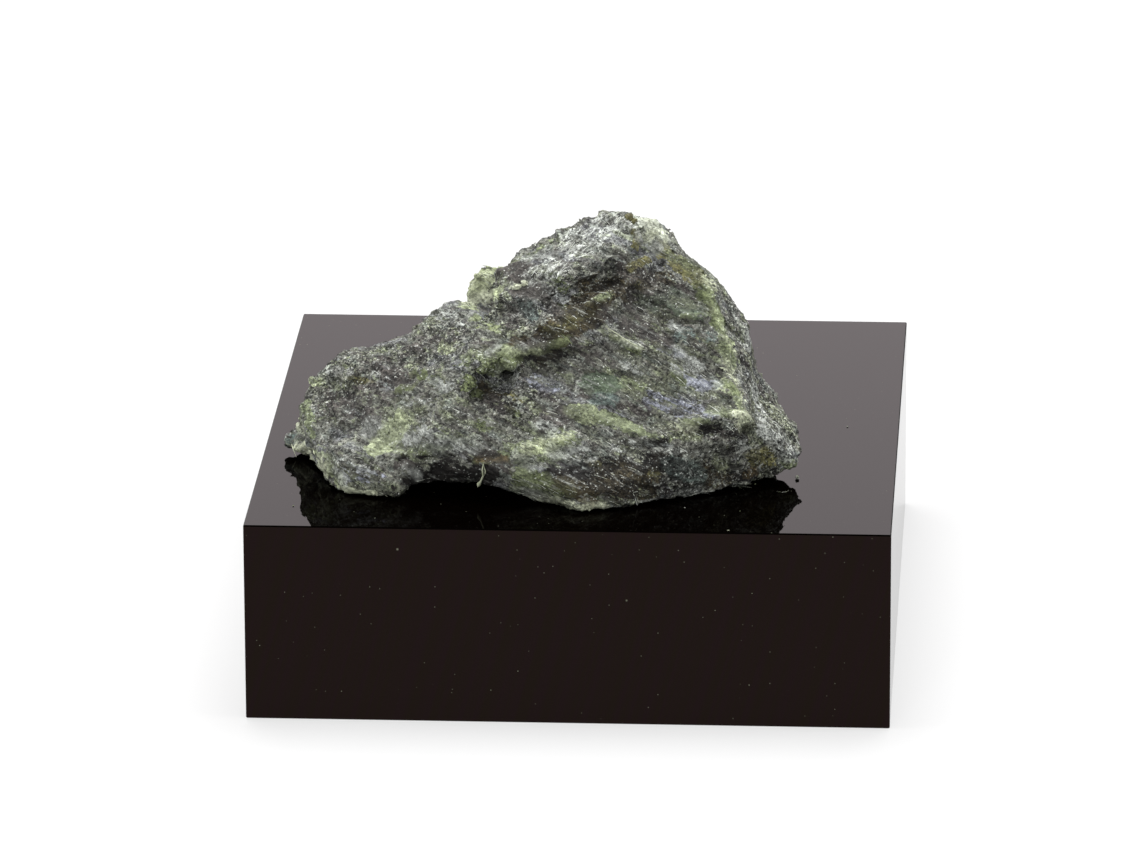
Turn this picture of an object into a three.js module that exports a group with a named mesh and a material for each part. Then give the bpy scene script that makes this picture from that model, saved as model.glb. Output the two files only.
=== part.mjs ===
// A carlosturanite specimen: a broken lump of dark green serpentine rock, lying as it is
// shown, on a sawn and polished block of black acrylic. Millimetres, +Z up, -Y to the
// front, with the origin under the middle of the block.
import * as THREE from "three";
import { ConvexGeometry } from "three/addons/geometries/ConvexGeometry.js";
import { ConvexHull } from "three/addons/math/ConvexHull.js";
import { ImprovedNoise } from "three/addons/math/ImprovedNoise.js";

// The block, cut from 10 mm sheet, with its sharp edges just broken.
const block = { width: 31.6, depth: 34.4, height: 10, edgeBreak: 0.05 };

// The stone. Its own frame is the block's, with z measured from the block's top.
const stoneGap = 0.01; // between the stone's feet and the block
const cell = 0.57; // size of the lattice on which the stone's surface is found
const lattice = { low: [-16.2, -16.2, -0.9], high: [12.6, 4.2, 14.1] };

// The stone broke along its layers, so it is a stack of overlapping chunks, each the
// convex hull of its corners [x, y, z].
const chunks = {
  // The main mass: the wide split face, the narrow right flank, and the back.
  core: [
    [0.6, -6.0, 12.3], [2.2, -6.0, 12.6], [3.6, -5.6, 12.3], [4.3, -5.4, 11.8],
    [5.4, -5.0, 10.8], [6.8, -4.6, 9.1], [7.7, -4.4, 8.1], [8.2, -4.2, 7.2],
    [8.5, -4.0, 5.8], [9.4, -3.8, 2.8],
    [5.2, -6.4, 10.9], [6.2, -7.1, 9.8], [7.1, -8.4, 8.1], [7.6, -9.9, 6.4],
    [8.6, -11.3, 4.4], [8.6, -11.8, 3.8], [5.1, -12.5, 3.5], [1.0, -13.7, 2.5],
    [-1.2, -14.1, 2.0], [-2.5, -13.4, 3.1], [-3.3, -12.1, 5.0],
    [0.5, -14.7, 0.0], [1.5, -14.5, 1.1], [3.5, -13.5, 0.0], [5.9, -12.2, 0.0],
    [-0.5, -13.9, 0.1], [-1.7, -13.1, 0.3], [-2.6, -12.6, 0.6],
    [2.0, -1.6, 10.4], [5.0, 0.4, 6.2], [-2.0, -1.8, 8.4], [-2.8, 0.6, 4.2],
    [3.4, 2.2, 1.4], [7.4, -0.4, 1.2], [-2.4, 1.0, 0.0], [2.4, 1.6, 0.0],
  ],
  // The dark foot of the right flank, set back under the split face's lower lip.
  heel: [
    [9.6, -3.8, 3.4], [10.1, -4.6, 2.8], [10.7, -5.6, 2.4], [11.1, -6.6, 1.9],
    [11.3, -8.2, 1.4], [11.4, -9.0, 1.0], [11.0, -8.6, 0.4], [10.1, -9.0, 0.3],
    [9.1, -9.4, 0.2], [8.4, -10.1, 0.1], [7.6, -11.0, 0.0], [5.6, -12.3, 0.0],
    [6.2, -11.7, 3.5], [8.6, -10.7, 3.7], [9.1, -7.6, 3.6], [8.4, -4.0, 4.4],
    [8.4, -2.8, 0.6], [6.0, -4.0, 0.3],
  ],
  // The weathered rim at the top of the split face.
  rim: [
    [3.0, -6.3, 12.1], [4.2, -6.0, 11.5], [5.5, -6.3, 10.8], [6.1, -6.9, 10.1],
    [5.4, -7.2, 9.9], [4.3, -7.3, 10.2], [3.2, -7.6, 10.4], [3.0, -5.6, 11.4],
    [5.4, -5.8, 10.2],
  ],
  // The bulge at the upper left, with a thick fibrous coat.
  bulge: [
    [-3.5, -6.6, 10.3], [-2.8, -6.5, 10.6], [-1.8, -6.3, 11.6], [-0.4, -6.1, 12.2],
    [0.6, -6.0, 12.7], [1.6, -6.0, 12.8], [2.6, -6.0, 12.8], [3.3, -6.6, 12.0],
    [3.2, -7.2, 11.4], [2.4, -8.1, 11.0], [1.2, -8.8, 10.6], [0.1, -9.5, 10.0],
    [-0.9, -9.7, 9.5], [-2.2, -9.6, 9.2], [-3.6, -9.0, 9.4], [-4.4, -7.2, 9.4],
    [-0.6, -3.6, 10.4], [2.4, -4.2, 11.6], [-3.6, -4.0, 8.0],
  ],
  // The step below the bulge, one layer above the split face.
  step: [
    [4.2, -7.2, 10.9], [3.0, -8.4, 9.8], [1.6, -9.6, 8.6], [0.5, -10.5, 7.4],
    [-0.4, -11.0, 6.9], [-1.4, -11.4, 6.6], [-3.2, -11.7, 6.5], [-5.0, -12.1, 6.0],
    [-5.2, -9.8, 7.8], [-3.9, -9.0, 8.6], [-4.2, -7.8, 9.0], [3.0, -6.6, 11.2],
    [-3.0, -6.0, 6.0], [1.6, -6.6, 8.6], [-3.4, -11.2, 7.4], [-0.9, -10.5, 8.1],
    [1.6, -9.2, 9.4],
  ],
  // The wing that runs down to the left.
  wing: [
    [-6.1, -6.0, 8.0], [-6.5, -6.0, 8.0], [-7.9, -6.1, 6.8], [-9.7, -6.3, 5.9],
    [-11.2, -6.4, 5.4], [-13.2, -6.4, 4.7], [-13.6, -6.5, 4.3], [-13.9, -6.4, 3.5],
    [-13.9, -6.6, 2.8], [-13.9, -6.6, 2.0], [-13.4, -8.4, 1.8], [-12.9, -9.4, 1.4],
    [-13.7, -7.2, 0.1], [-13.0, -8.3, 0.1], [-12.3, -9.8, 0.1],
    [-8.5, -12.3, 1.9], [-6.5, -12.6, 1.9], [-5.2, -12.7, 2.0], [-5.3, -12.0, 5.2],
    [-4.9, -11.4, 6.0], [-3.8, -8.4, 7.8], [-3.0, -4.0, 6.6], [-8.0, -2.4, 4.6],
    [-11.5, -3.4, 3.2], [-12.8, -5.2, 1.2], [-9.0, -2.0, 0.4], [-3.0, -1.0, 0.4],
    [-9.5, -10.4, 0.2], [-5.0, -9.6, 0.8],
  ],
  // The saddle between the wing and the main mass, undercut at its foot.
  saddle: [
    [-5.6, -12.0, 5.2], [-4.6, -11.9, 5.6], [-3.0, -11.9, 5.2], [-2.3, -13.0, 3.4],
    [-5.7, -12.7, 1.9], [-3.5, -13.1, 2.0], [-2.2, -13.7, 1.7], [-6.7, -12.3, 1.2],
    [-6.0, -12.1, 1.3], [-4.9, -11.9, 1.4], [-3.9, -11.9, 1.2], [-2.9, -12.7, 0.6],
    [-6.5, -1.8, 4.4], [-2.0, -0.2, 5.6], [-3.0, 0.9, 0.3], [-7.0, -0.8, 0.3],
    [-4.0, -9.0, 1.0],
  ],
  // The dark underside between the wing's foot and the main mass.
  underside: [
    [-8.2, -12.2, 0.5], [-7.2, -12.0, 0.8], [-5.8, -11.8, 1.1], [-4.6, -11.8, 1.3],
    [-3.6, -11.9, 1.3], [-2.6, -12.4, 1.0], [-7.6, -12.3, 1.7], [-3.0, -12.6, 1.9],
    [-8.0, -9.0, 0.3], [-2.0, -9.0, 0.3], [-8.0, -6.0, 1.2], [-2.0, -6.0, 1.2],
  ],
  // The lump under the wing that stands on the block.
  foot: [
    [-12.5, -9.4, 0.1], [-12.1, -10.6, 0.1], [-11.6, -11.7, 0.0], [-11.1, -12.3, 0.0],
    [-9.7, -12.8, 0.0], [-8.6, -12.8, 0.1], [-7.6, -12.6, 0.6], [-7.0, -12.6, 1.3],
    [-8.5, -12.6, 2.2], [-11.3, -11.8, 2.5], [-12.6, -10.2, 1.8], [-9.5, -9.0, 0.0],
    [-9.5, -9.0, 3.0],
  ],
  // The knob at the far left end.
  knob: [
    [-15.1, -5.8, 0.7], [-14.9, -5.7, 0.2], [-14.7, -5.8, 1.1], [-14.1, -5.9, 1.4],
    [-14.5, -5.9, 0.0], [-13.7, -7.2, 0.0], [-12.9, -8.4, 0.1], [-12.8, -4.4, 0.2],
    [-12.4, -6.6, 2.4],
  ],
  // The thin green flake that stands up behind the wing.
  flake: [
    [-6.0, -3.4, 7.1], [-6.1, -3.3, 7.6], [-5.5, -3.3, 8.3], [-4.9, -3.3, 8.7],
    [-4.6, -3.5, 9.1], [-3.7, -3.9, 9.6], [-2.4, -4.2, 10.0], [-5.4, -4.2, 7.0],
    [-3.6, -2.8, 7.6], [-5.6, -2.6, 7.2], [-2.0, -4.8, 8.4], [-2.0, -2.8, 8.4],
  ],
};

// What broke away: hollows cut back into the chunks.
const hollows = {
  // The shadowed crease between the bulge and the step.
  crease: [
    [2.2, -8.9, 10.7], [0.3, -9.9, 10.1], [-0.2, -10.3, 9.7], [0.9, -10.0, 9.2],
    [1.9, -9.6, 9.5], [2.4, -8.9, 10.0], [1.7, -8.1, 10.0], [0.7, -8.6, 9.5],
    [0.4, -8.9, 9.1], [1.6, -8.4, 9.5],
  ],
  // The smooth dark dish to the left of the crease.
  dish: [
    [-3.9, -10.4, 9.7], [-1.7, -10.1, 9.7], [-0.9, -10.9, 8.9], [-1.6, -11.3, 8.2],
    [-3.4, -11.3, 8.1], [-3.5, -9.2, 8.9], [-1.9, -9.3, 8.9], [-1.6, -9.8, 8.2],
    [-2.9, -10.0, 8.0],
  ],
  // The dip in the wing's crest.
  dip: [
    [-7.0, -9.0, 8.4], [-7.0, -3.0, 8.4], [-8.4, -8.5, 6.2], [-8.4, -3.0, 6.2],
    [-11.3, -8.0, 5.2], [-11.3, -3.0, 5.2], [-13.6, -7.0, 4.6], [-13.6, -3.0, 4.6],
    [-13.6, -8.0, 8.0], [-13.6, -3.0, 8.0],
  ],
  // The notch under the step's left end.
  notch: [
    [-3.3, -13.0, 7.5], [-5.1, -13.4, 6.0], [-4.9, -13.6, 5.2], [-3.3, -13.6, 5.1],
    [-3.0, -13.0, 6.9], [-3.6, -10.7, 6.5], [-5.0, -11.2, 5.1], [-4.8, -12.0, 4.7],
    [-3.6, -12.0, 4.7], [-3.2, -11.5, 6.1],
  ],
};

// Unevenness of the broken surface: [size of a lump, how far it moves the surface].
const warps = [[5.2, 0.24], [2.3, 0.12]];
const warpShift = { x: 11.3, y: 7.1, z: 3.7 }; // keeps the three directions unlike
const lumps = [[2.6, 0.2], [1.25, 0.16]];
// Thin plates of the layers broke off here and there, and left low steps.
const plates = { size: 2.4, thickness: 4, levels: 3, riser: 0.3, height: 0.42 };
// The layers lie along the split face. Lumps and plates are drawn out along the streaks,
// which run down to the right.
const splitNormal = new THREE.Vector3(0.08, -0.77, 0.63).normalize();
const streak = new THREE.Vector3(0.9, -0.33, -0.28).normalize();
const across = new THREE.Vector3().crossVectors(splitNormal, streak).normalize();
const drawnOut = { along: 0.5, side: 1.0, through: 1.4 };

const noise = new ImprovedNoise();

// The faces of a convex hull, as planes with their normals outwards.
function planesOf(corners) {
  const hull = new ConvexHull().setFromPoints(corners.map((c) => new THREE.Vector3(...c)));
  return hull.faces.map((face) => [...face.normal.toArray(), face.constant]);
}

// How far outside a convex solid a point lies, negative inside it.
function outside(planes, x, y, z) {
  let most = -Infinity;
  for (const [a, b, c, d] of planes) most = Math.max(most, a * x + b * y + c * z - d);
  return most;
}

const chunkPlanes = Object.values(chunks).map(planesOf);
const hollowPlanes = Object.values(hollows).map(planesOf);

// Turns a smooth value into levels, with steep risers about the middle of each.
function stepped(value, levels, riser) {
  const middle = 0.5;
  const scaled = value * levels;
  const level = Math.floor(scaled);
  const rise = THREE.MathUtils.smoothstep(scaled - level, middle - riser, middle + riser);
  return (level + rise) / levels;
}

// Positive outside the stone, negative inside it, in millimetres near its surface.
function stoneField(px, py, pz) {
  let [x, y, z] = [px, py, pz];
  for (const [size, amount] of warps) {
    x += amount * noise.noise(px / size, py / size, pz / size + warpShift.x);
    y += amount * noise.noise(px / size + warpShift.y, py / size, pz / size);
    z += amount * noise.noise(px / size, py / size + warpShift.z, pz / size);
  }
  let field = Infinity;
  for (const planes of chunkPlanes) field = Math.min(field, outside(planes, x, y, z));
  for (const planes of hollowPlanes) field = Math.max(field, -outside(planes, x, y, z));

  const p = new THREE.Vector3(px, py, pz);
  const along = p.dot(streak) * drawnOut.along;
  const side = p.dot(across) * drawnOut.side;
  const through = p.dot(splitNormal) * drawnOut.through;
  for (const [size, amount] of lumps)
    field += amount * noise.noise(along / size, side / size, through / size);
  const { size, thickness, levels, riser, height } = plates;
  const layer = noise.noise(along / size, side / size, through / thickness);
  field += height * stepped(layer, levels, riser);
  return Math.max(field, -pz); // the feet are flat where they meet the block
}

// A lattice cell: corner k is at the bits of k, an edge joins two corners, and a face
// lists its corners in order round it.
const corners = [...Array(8).keys()].map((k) => [k & 1, (k >> 1) & 1, (k >> 2) & 1]);
const edges = [];
for (const a of corners.keys())
  for (const bit of [1, 2, 4]) if (!(a & bit)) edges.push([a, a | bit]);
const faces = [
  [0, 2, 6, 4], [1, 3, 7, 5], [0, 1, 5, 4], [2, 3, 7, 6], [0, 1, 3, 2], [4, 5, 7, 6],
];
const edgeBetween = (a, b) =>
  edges.findIndex(([p, q]) => (p === a && q === b) || (p === b && q === a));
const faceEdges = faces.map((f) => f.map((a, i) => edgeBetween(a, f[(i + 1) % 4])));

// Groups a cell's crossed edges into the separate sheets of surface that pass through.
function sheetsOf(inside) {
  const sheet = edges.map(([a, b], i) => (inside[a] !== inside[b] ? i : -1));
  for (const around of faceEdges) {
    const [first, second] = around.filter((e) => sheet[e] >= 0);
    if (second === undefined) continue;
    const [from, to] = [sheet[first], sheet[second]];
    for (const k of sheet.keys()) if (sheet[k] === from) sheet[k] = to;
  }
  return sheet;
}

// How far a lattice value that is changed goes past the surface.
const nudge = 0.02;

// Fills the shallower outside corner of each lattice square whose corners lie inside and
// outside by turns, as two sheets of surface would touch there.
function partSheets(value, stride) {
  for (let changed = true; changed; ) {
    changed = false;
    for (let a = 0; a + stride[1] + stride[2] < value.length; a++)
      for (const [u, v] of [[0, 1], [1, 2], [0, 2]]) {
        const square = [a, a + stride[u], a + stride[u] + stride[v], a + stride[v]];
        const inside = square.map((i) => value[i] < 0);
        if (inside[0] !== inside[2] || inside[1] !== inside[3]) continue;
        if (inside[0] === inside[1]) continue;
        const open = square.filter((i) => value[i] >= 0);
        value[value[open[0]] < value[open[1]] ? open[0] : open[1]] = -nudge;
        changed = true;
      }
  }
}

// Marks every lattice point that can be reached from the start on its side of the surface.
function reach(value, stride, start) {
  const reached = new Uint8Array(value.length);
  const side = value[start] < 0;
  const waiting = [start];
  while (waiting.length) {
    const here = waiting.pop();
    if (!(here in value) || reached[here] || value[here] < 0 !== side) continue;
    reached[here] = 1;
    for (const s of stride) waiting.push(here + s, here - s);
  }
  return reached;
}

// Fills sealed cavities and drops loose crumbs, so that one solid piece is left.
function onePiece(value, stride) {
  const deepest = value.reduce((best, v, i) => (v < value[best] ? i : best), 0);
  const open = reach(value, stride, 0);
  const solid = reach(value, stride, deepest);
  for (const i of value.keys())
    if (!open[i] && !solid[i]) value[i] = value[i] < 0 ? nudge : -nudge;
}

// The outward direction at a point of the surface.
function gradient(field, p) {
  const h = 0.02; // how far the field is read on either side
  return new THREE.Vector3(
    field(p.x + h, p.y, p.z) - field(p.x - h, p.y, p.z),
    field(p.x, p.y + h, p.z) - field(p.x, p.y - h, p.z),
    field(p.x, p.y, p.z + h) - field(p.x, p.y, p.z - h),
  ).normalize();
}

// The point nearest to all of a sheet's tangent planes, which keeps edges sharp. It stays
// inside its cell.
function sharpPoint(hits, low) {
  const steps = 24; // of the approach
  const pull = 0.7; // share of the way that a step goes
  const margin = 0.06 * cell; // kept free at the cell's walls
  const p = new THREE.Vector3();
  for (const { at } of hits) p.addScaledVector(at, 1 / hits.length);
  for (let i = 0; i < steps; i++) {
    const move = new THREE.Vector3();
    for (const { at, normal } of hits)
      move.addScaledVector(normal, normal.dot(at) - normal.dot(p));
    p.addScaledVector(move, pull / hits.length);
  }
  const least = low.clone().addScalar(margin);
  return p.clamp(least, low.clone().addScalar(cell - margin));
}

// The lattice's counts, strides, and where its points lie.
function gridOf({ low, high }) {
  const count = low.map((l, i) => Math.round((high[i] - l) / cell) + 1);
  return {
    count,
    stride: [1, count[0], count[0] * count[1]],
    index: (i, j, k) => i + count[0] * (j + count[1] * k),
    place: (i, j, k) =>
      new THREE.Vector3(low[0] + i * cell, low[1] + j * cell, low[2] + k * cell),
  };
}

// Calls visit for every lattice point from the first to one before the last.
function overCells(count, first, visit) {
  for (let k = first; k + 1 < count[2]; k++)
    for (let j = first; j + 1 < count[1]; j++)
      for (let i = first; i + 1 < count[0]; i++) visit(i, j, k);
}

// Reads the field at every lattice point.
function sampled(field, { count, index, place }) {
  const value = new Float64Array(count[0] * count[1] * count[2]);
  for (let k = 0; k < count[2]; k++)
    for (let j = 0; j < count[1]; j++)
      for (let i = 0; i < count[0]; i++) {
        const p = place(i, j, k);
        value[index(i, j, k)] = field(p.x, p.y, p.z);
      }
  return value;
}

// Puts a point on each sheet of surface in each cell. The map is from "cell:edge" to the
// number of the point.
function surfacePoints(field, value, { count, index, place }) {
  const positions = [];
  const pointOf = new Map();
  overCells(count, 0, (i, j, k) => {
    const at = corners.map(([a, b, c]) => value[index(i + a, j + b, k + c)]);
    const inside = at.map((v) => v < 0);
    if (inside.every((v) => v === inside[0])) return;
    const sheet = sheetsOf(inside);
    for (const name of new Set(sheet.filter((s) => s >= 0))) {
      const hits = [];
      edges.forEach(([a, b], e) => {
        if (sheet[e] !== name) return;
        pointOf.set(`${index(i, j, k)}:${e}`, positions.length / 3);
        const [p, q] = [a, b].map((c) => {
          const [x, y, z] = corners[c];
          return place(i + x, j + y, k + z);
        });
        const hit = p.lerp(q, at[a] / (at[a] - at[b]));
        hits.push({ at: hit, normal: gradient(field, hit) });
      });
      positions.push(...sharpPoint(hits, place(i, j, k)).toArray());
    }
  });
  return { positions, pointOf };
}

// Joins the points. Each crossed lattice edge is shared by four cells, whose points make a
// quad.
function surfaceTriangles(value, { positions, pointOf }, { count, stride, index }) {
  const triangles = [];
  overCells(count, 1, (i, j, k) => {
    for (let axis = 0; axis < 3; axis++) {
      const here = index(i, j, k);
      const [inHere, inNext] = [value[here] < 0, value[here + stride[axis]] < 0];
      if (inHere === inNext) continue;
      const [u, v] = [(axis + 1) % 3, (axis + 2) % 3];
      const quad = [[1, 1], [0, 1], [0, 0], [1, 0]].map(([a, b]) => {
        const corner = (a << u) | (b << v);
        const edge = edgeBetween(corner, corner | (1 << axis));
        return pointOf.get(`${here - a * stride[u] - b * stride[v]}:${edge}`);
      });
      if (!inHere) quad.reverse();
      triangles.push(...splitQuad(quad, positions));
    }
  });
  return triangles;
}

// Finds the zero surface of a field as a closed mesh, by dual contouring.
function contour(field, bounds) {
  const grid = gridOf(bounds);
  const value = sampled(field, grid);
  partSheets(value, grid.stride);
  onePiece(value, grid.stride);
  const points = surfacePoints(field, value, grid);
  const geometry = new THREE.BufferGeometry();
  const positions = new THREE.Float32BufferAttribute(points.positions, 3);
  geometry.setAttribute("position", positions);
  geometry.setIndex(surfaceTriangles(value, points, grid));
  geometry.computeVertexNormals();
  return geometry;
}

// Two triangles of a quad, parted along its shorter diagonal.
function splitQuad([a, b, c, d], positions) {
  const gap = (p, q) =>
    Math.hypot(...[0, 1, 2].map((i) => positions[3 * p + i] - positions[3 * q + i]));
  return gap(a, c) < gap(b, d) ? [a, b, c, a, c, d] : [b, c, d, b, d, a];
}

// A box with every edge broken by a small flat.
function brokenEdgeBox({ width, depth, height, edgeBreak }) {
  const half = [width / 2, depth / 2, height / 2];
  const points = [];
  for (const [a, b, c] of corners)
    for (const full of [0, 1, 2]) {
      const at = [a, b, c].map(
        (side, i) => (2 * side - 1) * (half[i] - (i === full ? 0 : edgeBreak)),
      );
      points.push(new THREE.Vector3(...at));
    }
  return new ConvexGeometry(points);
}

function displayBlock() {
  const polish = new THREE.MeshStandardMaterial({
    color: 0x0b0909,
    roughness: 0.05,
    metalness: 0,
  });
  const mesh = new THREE.Mesh(brokenEdgeBox(block), polish);
  mesh.name = "display_block";
  mesh.position.z = block.height / 2;
  return mesh;
}

function stone() {
  const rock = new THREE.MeshStandardMaterial({
    color: 0x555b4b,
    roughness: 0.78,
    metalness: 0,
  });
  const geometry = contour(stoneField, lattice);
  const place = geometry.attributes.position;
  for (let i = 0; i < place.count; i++) place.setZ(i, Math.max(place.getZ(i), 0));
  const mesh = new THREE.Mesh(geometry, rock);
  mesh.name = "stone";
  mesh.position.z = block.height + stoneGap;
  return mesh;
}

const specimen = new THREE.Group();
specimen.add(displayBlock(), stone());

export default specimen;
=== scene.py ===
"""A carlosturanite specimen on a block of black acrylic, dressed for a studio picture.

The stone's solid is refined into a broken, granular surface, and covered with grains,
splinters, fibres and flakes of its own minerals. The block gets a polished black finish.
Places and sizes are in millimetres, in the part's own frame.
"""

import logging
import math
from dataclasses import dataclass, field, replace
from enum import Enum
from typing import TypeVar

import bmesh
import bpy
import numpy as np
from mathutils import Matrix, Vector, noise
from mathutils.bvhtree import BVHTree


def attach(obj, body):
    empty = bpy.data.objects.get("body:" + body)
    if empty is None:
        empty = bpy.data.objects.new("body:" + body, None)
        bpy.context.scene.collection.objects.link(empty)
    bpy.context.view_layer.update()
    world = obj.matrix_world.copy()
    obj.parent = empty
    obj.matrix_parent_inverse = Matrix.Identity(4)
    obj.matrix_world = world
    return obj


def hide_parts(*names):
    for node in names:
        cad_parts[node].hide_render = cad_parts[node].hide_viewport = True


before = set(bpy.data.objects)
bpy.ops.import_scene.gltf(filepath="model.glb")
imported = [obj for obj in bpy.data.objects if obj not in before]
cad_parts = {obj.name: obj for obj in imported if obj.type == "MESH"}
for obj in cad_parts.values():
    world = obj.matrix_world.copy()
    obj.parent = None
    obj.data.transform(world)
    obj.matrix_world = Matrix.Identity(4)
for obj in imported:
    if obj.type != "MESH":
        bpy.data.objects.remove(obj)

log = logging.getLogger("specimen")

Point = tuple[float, float, float]
Pixel = tuple[float, float]
Colour = tuple[float, float, float, float]

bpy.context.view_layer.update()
MM = 0.001
WHITE_LIGHT = (1.0, 1.0, 1.0, 1.0)
NO_LIGHT = (0.0, 0.0, 0.0, 1.0)

# The layers of the rock, and the way its streaks run, as in the part.
SPLIT_NORMAL = Vector((0.08, -0.77, 0.63)).normalized()
STREAK = Vector((0.9, -0.33, -0.28)).normalized()
ACROSS = SPLIT_NORMAL.cross(STREAK).normalized()
# The fibres of the white coat run up to the right.
COAT_STREAK = Vector((0.62, 0.38, 0.66)).normalized()
# How much a marking's distance counts through the layers.
THROUGH = 0.45
# Scales of the rock's patterns along the streaks and through the layers.
STRETCH = (0.38, 1.3)


def linear(red: int, green: int, blue: int) -> Colour:
    """Turns an 8-bit sRGB colour into a linear one.

    Args:
        red: red, 0 to 255.
        green: green, 0 to 255.
        blue: blue, 0 to 255.

    Returns:
        Linear red, green and blue, and an alpha of 1.
    """

    def channel(value: int) -> float:
        """Turns one channel into its linear share."""
        share = value / 255
        return share / 12.92 if share <= 0.04045 else ((share + 0.055) / 1.055) ** 2.4

    return channel(red), channel(green), channel(blue), 1.0


class Hue(Enum):
    """The stone's colours, as they look in soft white light."""

    BLACK = linear(22, 20, 18)
    DARK = linear(60, 57, 54)
    GREY = linear(107, 109, 101)
    MIST = linear(134, 137, 132)
    MOSS = linear(80, 87, 60)
    LEAF = linear(104, 111, 86)
    FRESH = linear(134, 143, 103)
    LIME = linear(132, 139, 111)
    PALE = linear(160, 164, 142)
    BOTTLE = linear(70, 80, 65)
    SEA = linear(80, 90, 86)
    LILAC = linear(114, 117, 126)
    WHITE = linear(206, 210, 204)
    OLIVE = linear(86, 84, 54)
    RUST = linear(98, 84, 53)
    UMBER = linear(50, 45, 31)


# Node graphs


@dataclass(frozen=True)
class Noise:
    """A smooth noise: lumps in a millimetre, octaves, and how strong the fine ones are.

    The shift moves it, so that two noises differ. With a rise, it is brought from 0 to 1
    between those two values.
    """

    scale: float
    detail: float
    rough: float
    shift: Point = (0.0, 0.0, 0.0)
    rise: tuple[float, float] | None = None


# Noises that the stone's shape and its finish share. The first follows the layers.
MEDIUM = Noise(1.5, 5.0, 0.7, (31.0, 7.0, 3.0))
SMALL = Noise(2.6, 4.0, 0.7)


class Scalar:
    """A number in a node graph, with Python's arithmetic."""

    def __init__(self, graph: "Graph", socket: bpy.types.NodeSocket) -> None:
        """Wraps an output socket of the graph."""
        self.graph = graph
        self.socket = socket

    def _math(self, operation: str, *values: "Scalar | float") -> "Scalar":
        """Adds one math node.

        Args:
            operation: the node's operation.
            values: its inputs, in order.

        Returns:
            The node's output.
        """
        sockets = dict(enumerate(values))
        result = self.graph.first("ShaderNodeMath", {"operation": operation}, sockets)
        return Scalar(self.graph, result)

    def __add__(self, other: "Scalar | float") -> "Scalar":
        """Adds another number."""
        return self._math("ADD", self, other)

    def __radd__(self, other: float) -> "Scalar":
        """Adds this to a plain number."""
        return self._math("ADD", other, self)

    def __sub__(self, other: "Scalar | float") -> "Scalar":
        """Takes another number away."""
        return self._math("SUBTRACT", self, other)

    def __rsub__(self, other: float) -> "Scalar":
        """Takes this away from a plain number."""
        return self._math("SUBTRACT", other, self)

    def __mul__(self, other: "Scalar | float") -> "Scalar":
        """Multiplies by another number."""
        return self._math("MULTIPLY", self, other)

    def __rmul__(self, other: float) -> "Scalar":
        """Multiplies a plain number by this."""
        return self._math("MULTIPLY", other, self)

    def floor(self) -> "Scalar":
        """Rounds down to a whole number."""
        return self._math("FLOOR", self)

    def above(self, limit: float) -> "Scalar":
        """Gives 1 where this is greater than the limit, else 0."""
        return self._math("GREATER_THAN", self, limit)

    def most(self, other: "Scalar | float") -> "Scalar":
        """Takes the greater of two numbers."""
        return self._math("MAXIMUM", self, other)

    def size(self) -> "Scalar":
        """Drops the sign."""
        return self._math("ABSOLUTE", self)

    def ease(self, low: float, high: float) -> "Scalar":
        """Rises smoothly from 0 to 1.

        Args:
            low: where the rise starts. It may be above high, for a fall.
            high: where the rise ends.

        Returns:
            A number from 0 to 1.
        """
        flip = low > high
        ends = (high, low) if flip else (low, high)
        sockets = {0: self, 1: ends[0], 2: ends[1], 3: float(flip), 4: float(not flip)}
        smooth = {"interpolation_type": "SMOOTHSTEP"}
        return Scalar(self.graph, self.graph.first("ShaderNodeMapRange", smooth, sockets))


class Triple:
    """A vector or colour in a node graph, with vector arithmetic."""

    def __init__(self, graph: "Graph", socket: bpy.types.NodeSocket) -> None:
        """Wraps an output socket of the graph."""
        self.graph = graph
        self.socket = socket

    def _vector(self, operation: str, sockets: dict) -> bpy.types.Node:
        """Adds one vector math node with these inputs."""
        return self.graph.node("ShaderNodeVectorMath", {"operation": operation}, sockets)

    def __add__(self, other: "Triple | Vector") -> "Triple":
        """Adds another vector."""
        return Triple(self.graph, self._vector("ADD", {0: self, 1: other}).outputs[0])

    def __sub__(self, other: "Triple | Vector") -> "Triple":
        """Takes another vector away."""
        return Triple(self.graph, self._vector("SUBTRACT", {0: self, 1: other}).outputs[0])

    def __mul__(self, factor: "Scalar | float") -> "Triple":
        """Scales the vector."""
        return Triple(self.graph, self._vector("SCALE", {0: self, "Scale": factor}).outputs[0])

    def dot(self, other: "Triple | Vector") -> Scalar:
        """Multiplies by another vector into a number."""
        return Scalar(self.graph, self._vector("DOT_PRODUCT", {0: self, 1: other}).outputs["Value"])


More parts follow.
